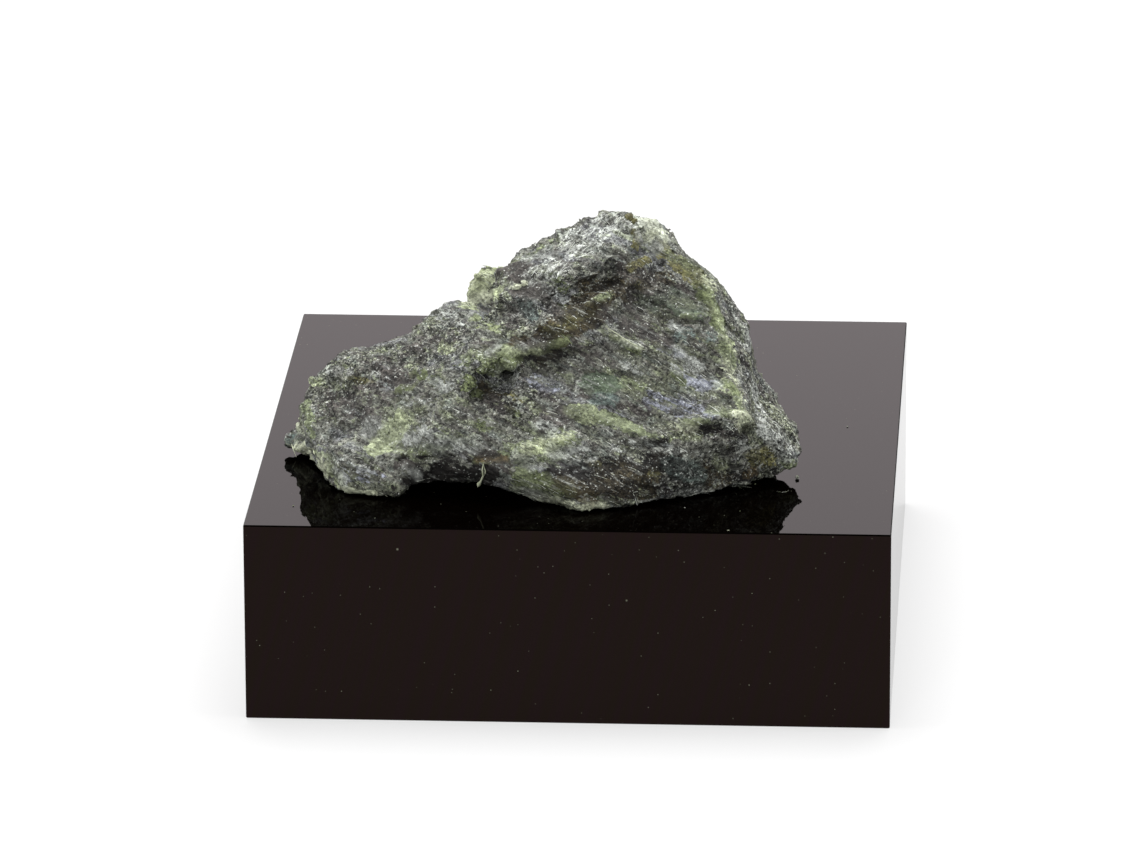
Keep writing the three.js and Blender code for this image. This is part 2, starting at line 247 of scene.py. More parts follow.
class Graph:
    """Builds one shader or geometry node tree."""

    def __init__(self, tree: bpy.types.NodeTree) -> None:
        """Takes the tree to fill."""
        self.tree = tree

    def node(
        self, kind: str, settings: dict | None = None, sockets: dict | None = None
    ) -> bpy.types.Node:
        """Adds a node.

        Args:
            kind: the node's type.
            settings: its properties by name.
            sockets: its inputs by index or name, each a value, a socket or a wrapped one.

        Returns:
            The node.
        """
        node = self.tree.nodes.new(kind)
        for name, value in (settings or {}).items():
            setattr(node, name, value)
        self.fill(node, sockets or {})
        return node

    def first(self, kind: str, settings: dict | None, sockets: dict) -> bpy.types.NodeSocket:
        """Adds a node and takes its first output."""
        return self.node(kind, settings, sockets).outputs[0]

    def fill(self, node: bpy.types.Node, sockets: dict) -> None:
        """Sets or links the inputs of a node.

        Args:
            node: the node.
            sockets: its inputs by index or name, each a value, a socket or a wrapped one.
        """
        for key, value in sockets.items():
            source = value.socket if isinstance(value, (Scalar, Triple)) else value
            if isinstance(source, bpy.types.NodeSocket):
                self.tree.links.new(source, node.inputs[key])
            else:
                node.inputs[key].default_value = source

    def combine(self, x: Scalar, y: Scalar | float, z: Scalar | float) -> Triple:
        """Joins three numbers to a vector."""
        return Triple(self, self.first("ShaderNodeCombineXYZ", None, {0: x, 1: y, 2: z}))

    def noise(self, place: Triple, look: Noise) -> Scalar:
        """Samples smooth noise.

        Args:
            place: where, in millimetres.
            look: the noise.

        Returns:
            A number about 0.5, or from 0 to 1 where the noise has a rise.
        """
        if any(look.shift):
            place = place + Vector(look.shift)
        sockets = {
            "Vector": place,
            "Scale": look.scale,
            "Detail": look.detail,
            "Roughness": look.rough,
        }
        value = Scalar(self, self.first("ShaderNodeTexNoise", None, sockets))
        return value.ease(*look.rise) if look.rise else value

    def cells(self, place: Triple, scale: float) -> tuple[Scalar, Scalar, Scalar]:
        """Samples a cell pattern.

        Args:
            place: where, in millimetres.
            scale: cells in a millimetre.

        Returns:
            The distance from the cell's middle, and two random numbers of the cell.
        """
        node = self.node("ShaderNodeTexVoronoi", None, {"Vector": place, "Scale": scale})
        parts = self.node("ShaderNodeSeparateXYZ", None, {0: node.outputs["Color"]})
        sources = (node.outputs["Distance"], parts.outputs[0], parts.outputs[1])
        return tuple(Scalar(self, source) for source in sources)

    def facets(self, place: Triple, scale: float) -> Scalar:
        """Breaks space into cells, each with a plane through its middle tilted at random.

        Args:
            place: where, in millimetres.
            scale: cells in a millimetre.

        Returns:
            The plane's height over the cell's middle, in millimetres, at a slope of about 1.
        """
        node = self.node("ShaderNodeTexVoronoi", None, {"Vector": place, "Scale": scale})
        tilt = Triple(self, node.outputs["Color"]) - Vector((0.5, 0.5, 0.5))
        offset = place - Triple(self, node.outputs["Position"])
        return offset.dot(tilt) * 2.0

    def mix(self, share: Scalar, first: Triple | Colour, second: Triple | Colour) -> Triple:
        """Mixes two colours.

        Args:
            share: how much of the second colour there is.
            first: the first colour.
            second: the second colour.

        Returns:
            The mixed colour.
        """
        sockets = {0: share, 6: first, 7: second}
        node = self.node("ShaderNodeMix", {"data_type": "RGBA"}, sockets)
        return Triple(self, node.outputs[2])

    def bent(self, place: Triple, wave: Scalar, amount: float) -> Triple:
        """Moves places by a noise, so that what is drawn there gets crooked edges.

        Args:
            place: where, in millimetres.
            wave: the noise.
            amount: how far it moves them.

        Returns:
            The moved place.
        """
        bend = (wave - 0.5) * amount
        return place + self.combine(bend, bend * -1.0, bend)

    def layered(self, place: Triple, along: float, through: float) -> Triple:
        """Turns and stretches space to the rock's layers.

        Args:
            place: where, in millimetres.
            along: scale along the streaks.
            through: scale through the layers.

        Returns:
            The place, along the streaks, across them, and through the layers.
        """
        return self.combine(
            place.dot(STREAK) * along, place.dot(ACROSS), place.dot(SPLIT_NORMAL) * through
        )

    def object_place(self) -> Triple:
        """Reads where the surface is in the object's own frame, in millimetres."""
        coordinates = self.node("ShaderNodeTexCoord").outputs["Object"]
        return Triple(self, coordinates) * (1 / MM)

    def number(self, name: str) -> Scalar:
        """Reads a numeric attribute of the surface in a shader."""
        node = self.node("ShaderNodeAttribute", {"attribute_name": name})
        return Scalar(self, node.outputs["Fac"])

    def stored(self, name: str) -> Scalar:
        """Reads a numeric attribute of the geometry in a geometry tree."""
        node = self.node("GeometryNodeInputNamedAttribute", {"data_type": "FLOAT"}, {"Name": name})
        return Scalar(self, node.outputs["Attribute"])

    def store(
        self, geometry: bpy.types.NodeSocket, name: str, value: object, domain: str
    ) -> bpy.types.NodeSocket:
        """Stores a number as an attribute in a geometry tree.

        Args:
            geometry: the geometry's socket.
            name: the attribute's name.
            value: the number, a socket or a wrapped one.
            domain: what each number belongs to.

        Returns:
            The socket of the geometry that has the attribute.
        """
        settings = {"data_type": "FLOAT", "domain": domain}
        sockets = {"Geometry": geometry, "Name": name, "Value": value}
        return self.first("GeometryNodeStoreNamedAttribute", settings, sockets)


# Markings

# Where a band's cover starts and is full, in half widths from its middle line.
ZONE_RIM = (1.3, 0.7)
RIDGE_RIM = (1.7, 0.3)
PATCH_RIM = (1.25, 0.8)
# How ragged the noise makes each rim, in half widths.
ZONE_RAG = 1.8
RIDGE_RAG = 2.4
PATCH_RAG = (2.8, 2.2)


def pressed(points: np.ndarray) -> np.ndarray:
    """Presses points, in rows, flat through the rock's layers."""
    normal = np.array(SPLIT_NORMAL)
    return points - np.outer(points @ normal * (1 - THROUGH), normal)


def eased(values: np.ndarray, low: float, high: float) -> np.ndarray:
    """Rises smoothly from 0 at low to 1 at high. Low may be above high, for a fall."""
    share = np.clip((values - low) / (high - low), 0, 1)
    return share * share * (3 - 2 * share)


@dataclass(frozen=True)
class Band:
    """A round-ended band from start to end, on the stone or as picked in the photograph."""

    name: str
    start: Point | Pixel
    end: Point | Pixel
    half_width: float

    def cover(
        self, flat: np.ndarray, ragged: np.ndarray, rim: tuple[float, float]
    ) -> np.ndarray:
        """Marks what the band covers.

        Args:
            flat: the points, pressed flat through the layers.
            ragged: noise that breaks the rim, about 0, in half widths.
            rim: where the cover starts and is full, in half widths from the middle line.

        Returns:
            1 inside the band, falling to 0 outside it.
        """
        start, end = pressed(np.array([self.start, self.end]))
        run = end - start
        offset = flat - start
        share = np.clip(offset @ run / max(run @ run, 0.01), 0, 1)
        distance = np.linalg.norm(offset - np.outer(share, run), axis=1) / self.half_width
        cover = eased(distance + ragged, *rim)
        if not cover.any():
            log.warning("%s misses the stone", self.name)
        return cover


@dataclass(frozen=True)
class Patch(Band):
    """A coloured band: some are the stone's own colours, and some are painted light and shade."""

    hue: Hue
    strength: float


@dataclass(frozen=True)
class Ridge(Band):
    """A raised band, or a groove where its height is below 0."""

    height: float


Kind = TypeVar("Kind", bound=Band)


def listed(kind: type[Kind], *rows: tuple) -> tuple[Kind, ...]:
    """Makes a band of one kind from each row of its values."""
    return tuple(kind(*row) for row in rows)


# Parts of the surface with a character of their own: name, start, end and half width.
ZONES = {
    "coat": listed(
        Band,
        ("coat top", (1.1, -6.7, 22.3), (2.6, -6.4, 22.6), 0.55),
        ("coat middle", (-0.2, -7.6, 21.3), (1.2, -7.4, 21.8), 0.45),
        ("coat back", (-0.6, -7.2, 21.5), (1.2, -6.7, 22.3), 0.4),
        ("coat foot", (-2.1, -8.5, 20.3), (-0.8, -8.5, 20.7), 0.45),
    ),
    "granular": listed(
        Band,
        ("heel", (2.9, -13.9, 11.6), (8.4, -10.7, 11.8), 1.2),
        ("heel upper", (5.2, -12.9, 12.8), (8.4, -11.2, 12.5), 0.9),
        ("heel end", (8.2, -10.7, 11.8), (9.8, -9.8, 11.3), 0.9),
        ("crease", (-0.3, -8.9, 19.7), (4.1, -7.9, 19.7), 1.0),
        ("dish", (-4.5, -9.0, 18.6), (-1.4, -10.4, 18.6), 0.9),
        ("wing", (-12.6, -7.3, 13.8), (-6.5, -8.2, 17.0), 1.4),
        ("band", (-4.6, -10.9, 15.3), (-2.6, -11.9, 14.9), 1.1),
        ("flank", (7.9, -5.8, 17.2), (10.2, -8.9, 12.0), 1.3),
        ("foot", (1.1, -13.8, 11.9), (5.8, -12.5, 11.4), 0.8),
    ),
    "face": listed(
        Band,
        ("split face", (1.3, -10.3, 17.3), (6.2, -11.4, 14.9), 2.6),
        ("face foot", (-1.5, -13.8, 11.9), (2.4, -13.4, 12.4), 1.5),
    ),
    "edge": listed(
        Band,
        ("edge top", (5.9, -6.9, 20.3), (7.2, -8.7, 18.0), 0.5),
        ("edge foot", (7.3, -9.0, 17.6), (8.3, -11.8, 14.0), 0.6),
        ("step", (-3.3, -11.1, 17.2), (-0.3, -10.7, 17.6), 0.5),
        ("peak rim", (3.3, -6.4, 22.2), (5.5, -6.7, 20.5), 0.5),
        ("sheet", (-3.0, -13.4, 12.7), (0.0, -13.1, 13.3), 0.5),
        ("wing patch", (-9.7, -11.9, 12.3), (-8.7, -11.1, 13.5), 0.6),
    ),
    "flake": listed(Band, ("flake", (-5.7, -3.6, 17.6), (-3.7, -7.0, 20.1), 0.8)),
}

# The markings, from the lowest to the one on top, as picked in the photograph: name, start, end and
# half width in its pixels, hue and strength. They are good to about half a millimetre.
# Many rows are painted light and shade rather than the stone's own colours. The black and dark rows
# under the step, the lip, the hem, the vein and the small ledge, in the hollows, the notch and the
# gaps, and the rows named shade, are painted shade. On the foot and the heel, the dark rows are
# partly the stone's dark grains and partly painted shade. The rows named light, mist or glow, and
# the pale and mist rows along the rims, the tip, the sides and the flake, are painted light. The
# green, sea, lilac, olive and rust rows are the stone's own colours.
PATCHES = listed(
    Patch,
    ("face top shade", (625, 290), (690, 300), 14, Hue.DARK, 0.75),
    ("face right mist", (690, 385), (715, 400), 14, Hue.MIST, 0.2),
    ("wing mist", (405, 400), (430, 410), 9, Hue.MIST, 0.25),
    ("corner mist", (322, 450), (330, 466), 7, Hue.MIST, 0.25),
    ("dish mist", (520, 310), (545, 296), 12, Hue.MIST, 0.25),
    ("flank mist", (758, 390), (785, 440), 10, Hue.MIST, 0.45),
    ("flank top mist", (735, 300), (748, 345), 6, Hue.MIST, 0.3),
    ("hollow", (584, 284), (618, 278), 7, Hue.UMBER, 0.7),
    ("hollow foot", (586, 312), (598, 322), 6, Hue.BLACK, 0.8),
    ("hollow pit", (596, 288), (612, 282), 4, Hue.BLACK, 0.6),
    ("step brown", (545, 340), (600, 300), 11, Hue.UMBER, 0.65),
    ("crease brown", (620, 285), (668, 276), 7, Hue.UMBER, 0.6),
    ("crease", (628, 272), (660, 288), 11, Hue.DARK, 0.65),
    ("dish", (492, 305), (515, 318), 12, Hue.DARK, 0.5),
    ("step dark", (540, 346), (592, 310), 13, Hue.UMBER, 0.7),
    ("bulge shade", (512, 270), (530, 288), 11, Hue.DARK, 0.65),
    ("bulge shade top", (508, 264), (522, 266), 8, Hue.DARK, 0.85),
    ("flake base", (470, 305), (496, 292), 8, Hue.LIME, 0.95),
    ("under step", (522, 357), (560, 354), 2, Hue.BLACK, 0.6),
    ("notch", (482, 386), (496, 394), 7, Hue.UMBER, 0.7),
    ("face light", (682, 354), (698, 368), 9, Hue.MIST, 0.75),
    ("notch foot", (482, 392), (494, 396), 4, Hue.BLACK, 0.4),
    ("notch green", (466, 386), (494, 362), 5, Hue.MOSS, 0.9),
    ("notch wall", (468, 378), (478, 392), 5, Hue.MOSS, 0.8),
    ("notch back", (498, 366), (516, 373), 6, Hue.WHITE, 0.6),
    ("face hollow", (575, 345), (592, 360), 7, Hue.DARK, 0.5),
    ("wing hollow", (325, 402), (365, 412), 13, Hue.DARK, 0.55),
    ("wing dark", (360, 385), (388, 398), 10, Hue.DARK, 0.45),
    ("wing shade", (405, 350), (440, 335), 9, Hue.DARK, 0.45),
    ("hem shade", (405, 463), (450, 463), 2.5, Hue.BLACK, 0.8),
    ("hem under", (415, 476), (490, 476), 10, Hue.BLACK, 0.95),
    ("foot shade", (590, 474), (700, 482), 15, Hue.BLACK, 0.6),
    ("foot low", (600, 488), (650, 492), 7, Hue.UMBER, 0.5),
    ("sheet gap", (552, 472), (580, 480), 8, Hue.BLACK, 0.45),
    ("heel low", (738, 474), (752, 478), 6, Hue.BLACK, 0.7),
    ("face shade right", (650, 330), (662, 340), 9, Hue.DARK, 0.4),
    ("step top", (515, 342), (550, 336), 6, Hue.UMBER, 0.9),
    ("step umber", (545, 330), (578, 312), 9, Hue.UMBER, 0.85),
    ("foot brown", (660, 455), (720, 476), 12, Hue.UMBER, 0.6),
    ("foot brown left", (600, 478), (650, 474), 11, Hue.UMBER, 0.7),
    ("foot dark", (640, 462), (690, 450), 9, Hue.BLACK, 0.6),
    ("heel", (690, 445), (742, 440), 11, Hue.DARK, 0.55),
    ("lip shade", (690, 432), (742, 430), 3, Hue.BLACK, 0.9),
    ("vein shade", (646, 442), (668, 441), 2.2, Hue.BLACK, 0.6),
    ("ledge shade", (684, 321), (706, 321), 1.4, Hue.DARK, 0.3),
    ("heel pit", (755, 454), (772, 454), 7, Hue.OLIVE, 0.7),
    ("heel pit dark", (762, 458), (772, 456), 3, Hue.BLACK, 0.7),
    ("flank pit", (744, 358), (750, 368), 5, Hue.BLACK, 0.6),
    ("flank pit low", (760, 385), (763, 395), 3, Hue.DARK, 0.7),
    ("lilac left", (537, 380), (549, 386), 9, Hue.LILAC, 0.5),
    ("lilac middle", (652, 400), (712, 414), 8, Hue.LILAC, 0.5),
    ("lilac dark", (620, 402), (650, 410), 7, Hue.DARK, 0.5),
    ("lilac edge", (690, 380), (716, 384), 7, Hue.LILAC, 0.7),
    ("lilac upper", (660, 348), (682, 356), 4, Hue.LILAC, 0.4),
    ("foot lilac", (345, 472), (375, 482), 8, Hue.LILAC, 0.35),
    ("sea", (596, 396), (616, 398), 7, Hue.SEA, 0.8),
    ("heel lens", (674, 468), (698, 472), 9, Hue.SEA, 0.7),
    ("layers", (680, 334), (714, 336), 6, Hue.SEA, 0.55),
    ("bulge green", (550, 270), (565, 286), 7, Hue.MOSS, 0.45),
    ("dish green", (524, 302), (532, 318), 7, Hue.SEA, 0.6),
    ("oval", (594, 383), (614, 383), 10, Hue.BOTTLE, 0.95),
    ("oval tip", (624, 380), (642, 386), 5, Hue.LEAF, 0.8),
    ("deep green", (664, 292), (700, 312), 10, Hue.BOTTLE, 0.85),
    ("deep green left", (640, 300), (655, 306), 6, Hue.BOTTLE, 0.4),
    ("edge top", (694, 266), (720, 320), 9, Hue.MOSS, 0.95),
    ("edge line", (706, 284), (724, 322), 3.5, Hue.LEAF, 0.7),
    ("edge middle", (724, 332), (732, 362), 8, Hue.LEAF, 0.8),
    ("edge cream", (727, 364), (735, 378), 6, Hue.PALE, 0.4),
    ("edge low", (724, 386), (738, 416), 10, Hue.LIME, 0.4),
    ("edge light", (733, 388), (746, 412), 4, Hue.LEAF, 0.8),
    ("edge foot", (712, 410), (744, 418), 6, Hue.LEAF, 0.8),
    ("lip", (684, 422), (744, 423), 3, Hue.LEAF, 0.85),
    ("vein left", (570, 410), (604, 418), 7, Hue.LEAF, 0.9),
    ("vein middle", (604, 420), (640, 430), 5, Hue.LEAF, 0.85),
    ("vein right", (636, 432), (656, 438), 3, Hue.LEAF, 0.8),
    ("vein far", (672, 436), (700, 436), 3.5, Hue.LEAF, 0.7),
    ("vein top", (572, 404), (604, 410), 1.6, Hue.LIME, 0.5),
    ("bright sheet", (508, 452), (572, 438), 9, Hue.LEAF, 0.85),
    ("sheet streak", (524, 448), (570, 436), 3.5, Hue.PALE, 0.5),
    ("sheet streak low", (514, 456), (556, 448), 2.5, Hue.PALE, 0.6),
    ("sheet foot", (520, 462), (560, 454), 6, Hue.LEAF, 0.6),
    ("lower sheet", (520, 478), (566, 488), 9, Hue.MOSS, 0.85),
    ("lower light", (512, 488), (560, 500), 5, Hue.LIME, 0.7),
    ("foot lump", (592, 464), (600, 466), 3.5, Hue.OLIVE, 0.6),
    ("foot gap", (580, 470), (600, 474), 8, Hue.BLACK, 0.5),
    ("foot fleck", (652, 473), (658, 474), 3, Hue.OLIVE, 0.8),
    ("foot light", (638, 458), (641, 461), 2.5, Hue.PALE, 0.7),
    ("heel fleck", (718, 460), (726, 468), 5, Hue.LIME, 0.7),
    ("heel corner", (784, 464), (796, 466), 5, Hue.LEAF, 0.7),
    ("flank rim", (740, 324), (744, 340), 4, Hue.MOSS, 0.7),
    ("step bar", (588, 304), (612, 294), 3.5, Hue.LEAF, 0.8),
    ("step column", (552, 318), (575, 310), 5, Hue.UMBER, 0.6),
    ("step green", (560, 305), (580, 312), 4, Hue.MOSS, 0.7),
    ("step olive", (548, 330), (572, 322), 6, Hue.OLIVE, 0.6),
    ("step ledge", (505, 352), (545, 349), 5, Hue.LIME, 0.9),
    ("step right", (545, 348), (568, 338), 4, Hue.MOSS, 0.7),
    ("peak band", (474, 314), (498, 330), 5, Hue.LEAF, 0.9),
    ("wing spot", (440, 346), (449, 348), 6, Hue.LIME, 0.9),
    ("band", (466, 360), (500, 352), 9, Hue.LEAF, 0.6),
    ("wing fleck", (414, 373), (430, 378), 5, Hue.MOSS, 0.8),
    ("wing lens", (402, 388), (412, 389), 5, Hue.MOSS, 1.0),
    ("wing patch", (378, 446), (398, 420), 9, Hue.LIME, 0.95),
    ("wing patch foot", (372, 452), (392, 448), 6, Hue.LEAF, 0.7),
    ("wing corner", (312, 378), (320, 380), 6, Hue.LIME, 0.8),
    ("wing top", (330, 366), (400, 346), 3, Hue.LEAF, 0.55),
    ("wing rim", (304, 402), (312, 436), 5, Hue.LEAF, 0.85),
    ("wing gold", (338, 379), (372, 382), 3, Hue.OLIVE, 0.6),
    ("wing side", (316, 446), (330, 466), 6, Hue.LEAF, 0.5),
    ("wing foot", (326, 468), (340, 484), 5, Hue.LIME, 0.8),
    ("tip", (284, 440), (294, 438), 7, Hue.SEA, 0.6),
    ("side light", (298, 448), (322, 472), 8, Hue.PALE, 0.9),
    ("side green", (296, 446), (306, 452), 4, Hue.PALE, 0.8),
    ("band mist", (366, 428), (424, 438), 10, Hue.MIST, 0.8),
    ("wing light", (432, 384), (448, 388), 7, Hue.MIST, 0.6),
    ("flank light", (736, 318), (752, 345), 7, Hue.MIST, 0.5),
    ("flank light low", (756, 382), (766, 430), 6, Hue.MIST, 0.7),
    ("heel light", (764, 430), (786, 454), 9, Hue.MIST, 0.7),
    ("heel grey", (690, 448), (720, 452), 10, Hue.GREY, 0.5),
    ("rim grey", (700, 272), (712, 284), 5, Hue.PALE, 0.7),
    ("wing end mist", (318, 372), (345, 372), 8, Hue.MIST, 0.5),
    ("peak mist", (438, 306), (452, 302), 6, Hue.MIST, 0.3),
    ("hem light", (428, 455), (452, 457), 2.5, Hue.LEAF, 0.6),
    ("hem right", (474, 462), (500, 462), 2, Hue.MOSS, 0.8),
    ("hem mist", (440, 442), (474, 448), 6, Hue.MIST, 0.6),
    ("face fleck", (507, 405), (516, 414), 4, Hue.MOSS, 0.8),
    ("face gold", (508, 394), (520, 400), 4, Hue.OLIVE, 0.6),
    ("saddle fleck", (480, 424), (490, 424), 6, Hue.MOSS, 0.6),
    ("saddle green", (440, 432), (475, 440), 6, Hue.LEAF, 0.35),
    ("sheet fleck", (528, 426), (534, 430), 4, Hue.LEAF, 0.6),
    ("peak rim", (642, 219), (664, 240), 9, Hue.MIST, 0.9),
    ("peak olive", (634, 228), (638, 245), 4, Hue.OLIVE, 0.8),
    ("rim olive", (662, 246), (694, 274), 10, Hue.OLIVE, 0.6),
    ("rim green", (672, 254), (690, 262), 6, Hue.LEAF, 0.5),
    ("olive spot", (632, 266), (646, 260), 5, Hue.OLIVE, 0.8),
    ("crease gold", (640, 284), (652, 288), 4, Hue.OLIVE, 0.6),
    ("pale lump", (516, 286), (524, 284), 3, Hue.MIST, 0.7),
    ("face spot", (670, 322), (678, 328), 4, Hue.MIST, 0.7),
    ("ledge green", (612, 336), (640, 352), 4, Hue.MOSS, 0.65),
    ("ledge light", (610, 334), (642, 350), 1.4, Hue.PALE, 0.7),
    ("lens", (655, 344), (670, 352), 3, Hue.MOSS, 0.6),
    ("olive lens", (675, 374), (684, 382), 4, Hue.MOSS, 0.9),
    ("ledge lip", (684, 316), (706, 316), 2.5, Hue.LEAF, 0.6),
    ("flake", (462, 298), (496, 270), 12, Hue.LIME, 1.0),
    ("flake rim", (464, 300), (478, 274), 5, Hue.PALE, 0.7),
    ("bulge crest", (508, 261), (530, 254), 2.5, Hue.LEAF, 0.6),
    ("bulge rim", (528, 253), (570, 228), 3, Hue.LEAF, 0.5),
    ("rust shade", (476, 460), (508, 458), 4, Hue.UMBER, 0.9),
    ("rust", (478, 460), (506, 458), 1.2, Hue.RUST, 0.6),
    ("foot rim", (530, 497), (604, 509), 5, Hue.PALE, 1.0),
    ("foot rim right", (604, 509), (700, 495), 2, Hue.MIST, 0.4),
    ("sheet gap last", (552, 472), (580, 480), 8, Hue.BLACK, 0.6),
    ("edge rim", (714, 308), (724, 334), 1.6, Hue.LIME, 0.5),
    ("edge rim middle", (724, 334), (736, 352), 1.6, Hue.PALE, 0.6),
    ("edge rim low", (731, 372), (746, 402), 1.6, Hue.PALE, 0.5),
    ("wing foot rim", (340, 491), (372, 494), 3.5, Hue.PALE, 0.9),
    ("wing crest dark", (370, 356), (402, 380), 11, Hue.DARK, 0.45),
    ("peak grey", (434, 313), (468, 322), 7, Hue.MIST, 0.5),
    ("step core", (528, 342), (560, 328), 5, Hue.BLACK, 0.6),
    ("notch light", (494, 374), (510, 360), 7, Hue.LEAF, 0.8),
    ("peak light", (642, 236), (656, 246), 7, Hue.MIST, 0.7),
    ("vein start", (574, 414), (592, 422), 5, Hue.LIME, 0.8),
    ("lip underside", (600, 446), (640, 448), 6, Hue.MIST, 0.3),
    ("foot top dark", (646, 463), (688, 469), 6, Hue.BLACK, 0.6),
    ("peak pale", (646, 222), (664, 238), 8, Hue.PALE, 0.5),
    ("bulge light", (522, 255), (556, 254), 5, Hue.MIST, 0.6),
    ("face light left", (622, 366), (640, 370), 6, Hue.MIST, 0.5),
    ("foot mist", (335, 463), (366, 468), 8, Hue.MIST, 0.3),
    ("sheet left light", (518, 462), (528, 486), 7, Hue.LEAF, 0.6),
    ("face low shade", (545, 392), (560, 418), 9, Hue.DARK, 0.4),
    ("wing left shade", (338, 368), (352, 372), 7, Hue.DARK, 0.4),
    ("edge corner", (734, 416), (746, 422), 5, Hue.PALE, 0.8),
    ("lip end", (682, 426), (698, 422), 4, Hue.LIME, 0.9),
    ("lip dark", (694, 431), (742, 436), 7, Hue.BLACK, 0.7),
    ("lip corner", (736, 432), (746, 436), 5, Hue.BLACK, 0.8),
    ("vein end dark", (648, 440), (668, 440), 2, Hue.BLACK, 0.8),
    ("sheet mist", (552, 451), (590, 456), 7, Hue.MIST, 0.6),
    ("rim low light", (744, 400), (750, 424), 5, Hue.PALE, 0.5),
    ("heel top light", (742, 446), (756, 456), 6, Hue.MIST, 0.7),
    ("bulge low", (514, 292), (548, 296), 8, Hue.DARK, 0.75),
    ("bulge face", (556, 252), (568, 266), 6, Hue.DARK, 0.5),
    ("step upper", (572, 302), (622, 293), 7, Hue.UMBER, 0.9),
    ("step upper core", (576, 300), (618, 290), 4, Hue.BLACK, 0.5),
    ("bar top", (588, 304), (612, 294), 3, Hue.LEAF, 0.75),
    ("face dark", (604, 312), (620, 326), 7, Hue.DARK, 0.6),
    ("face middle dark", (632, 326), (662, 340), 10, Hue.DARK, 0.6),
    ("wing middle dark", (366, 396), (378, 420), 7, Hue.DARK, 0.5),
    ("notch foot dark", (490, 398), (506, 408), 7, Hue.DARK, 0.6),
    ("saddle dark", (484, 452), (506, 470), 8, Hue.DARK, 0.5),
    ("foot left dark", (562, 482), (590, 496), 9, Hue.UMBER, 0.7),
    ("sheet low dark", (556, 408), (570, 414), 7, Hue.DARK, 0.4),
    ("step shade", (522, 343), (548, 341), 5, Hue.BLACK, 0.5),
    ("notch end light", (488, 352), (496, 346), 4, Hue.MIST, 0.6),
    ("notch inside light", (500, 374), (512, 380), 5, Hue.GREY, 0.7),
    ("wing upper dark", (370, 384), (398, 380), 7, Hue.DARK, 0.4),
    ("tip light", (300, 452), (308, 460), 5, Hue.PALE, 0.6),
    ("wing hem light", (334, 470), (342, 482), 5, Hue.MIST, 0.6),
    ("hem left light", (406, 468), (418, 474), 5, Hue.MIST, 0.6),
    ("hem dark", (390, 488), (400, 492), 4, Hue.BLACK, 0.5),
    ("sheet start light", (536, 424), (550, 432), 6, Hue.MIST, 0.5),
    ("saddle light", (516, 456), (532, 464), 6, Hue.MIST, 0.45),
    ("saddle foot light", (516, 490), (534, 494), 5, Hue.MIST, 0.45),
    ("foot rim light", (556, 503), (588, 509), 4, Hue.PALE, 0.7),
    ("foot end dark", (600, 486), (634, 492), 8, Hue.BLACK, 0.45),
    ("foot tip light", (682, 494), (698, 492), 5, Hue.MIST, 0.5),
    ("lip foot light", (632, 443), (680, 450), 4, Hue.MIST, 0.45),
    ("lip start light", (660, 420), (694, 430), 4, Hue.PALE, 0.45),
    ("edge low dark", (708, 406), (718, 406), 5, Hue.DARK, 0.5),
    ("edge bend dark", (728, 384), (738, 392), 5, Hue.MOSS, 0.6),
    ("flank high light", (728, 330), (750, 350), 6, Hue.MIST, 0.4),
    ("flank high dark", (734, 300), (742, 322), 5, Hue.DARK, 0.5),
    ("face high dark", (646, 288), (658, 288), 6, Hue.DARK, 0.4),
    ("face high green", (676, 300), (694, 306), 6, Hue.MOSS, 0.4),
    ("rim left light", (644, 238), (654, 236), 5, Hue.PALE, 0.7),
    ("rim end light", (706, 276), (716, 284), 4, Hue.LIME, 0.6),
    ("bulge hem dark", (556, 266), (566, 268), 5, Hue.DARK, 0.4),
    ("bulge left light", (546, 258), (552, 266), 5, Hue.WHITE, 0.4),
    ("heel end dark", (734, 472), (746, 478), 6, Hue.BLACK, 0.5),
    ("wing lime", (378, 446), (398, 422), 12, Hue.LIME, 0.85),
    ("hem moss", (402, 451), (448, 450), 4, Hue.MOSS, 0.6),
    ("hem crack", (404, 456), (454, 456), 3, Hue.BLACK, 0.8),
    ("lip tongue", (684, 435), (700, 438), 3, Hue.LIME, 0.3),
    ("heel middle light", (706, 452), (738, 460), 8, Hue.GREY, 0.35),
    ("heel olive", (752, 458), (774, 462), 6, Hue.OLIVE, 0.8),
    ("heel rust", (744, 475), (757, 472), 3, Hue.RUST, 0.5),
    ("heel lime fleck", (716, 462), (722, 466), 4, Hue.LIME, 0.6),
    ("flake fresh", (464, 294), (494, 272), 10, Hue.FRESH, 0.65),
    ("sheet fresh", (538, 448), (562, 442), 6, Hue.FRESH, 0.3),
    ("peak fresh", (472, 318), (492, 328), 5, Hue.FRESH, 0.35),
    ("edge fresh", (706, 292), (732, 348), 5, Hue.FRESH, 0.2),
    ("knob shade", (496, 369), (522, 366), 3, Hue.DARK, 0.5),
    ("knob front", (498, 358), (516, 358), 4, Hue.MOSS, 0.35),
    ("flake glow", (466, 297), (494, 273), 10, Hue.PALE, 0.45),
    ("flake light", (470, 301), (488, 296), 6, Hue.PALE, 0.9),
    ("face corner dark", (656, 292), (704, 310), 8, Hue.DARK, 0.45),
    ("flank light high", (742, 378), (754, 396), 6, Hue.MIST, 0.4),
    ("corner light", (738, 420), (748, 428), 4, Hue.PALE, 0.6),
    ("saddle top dark", (488, 402), (506, 408), 7, Hue.BLACK, 0.4),
    ("step lower shade", (520, 360), (566, 356), 3, Hue.BLACK, 0.6),
    ("sheet top dark", (546, 412), (566, 420), 6, Hue.DARK, 0.4),
    ("lip underside dark", (668, 432), (690, 434), 5, Hue.DARK, 0.35),
    ("wing hollow dark", (350, 430), (372, 436), 6, Hue.DARK, 0.35),
    ("bulge dark", (548, 268), (566, 264), 5, Hue.DARK, 0.4),
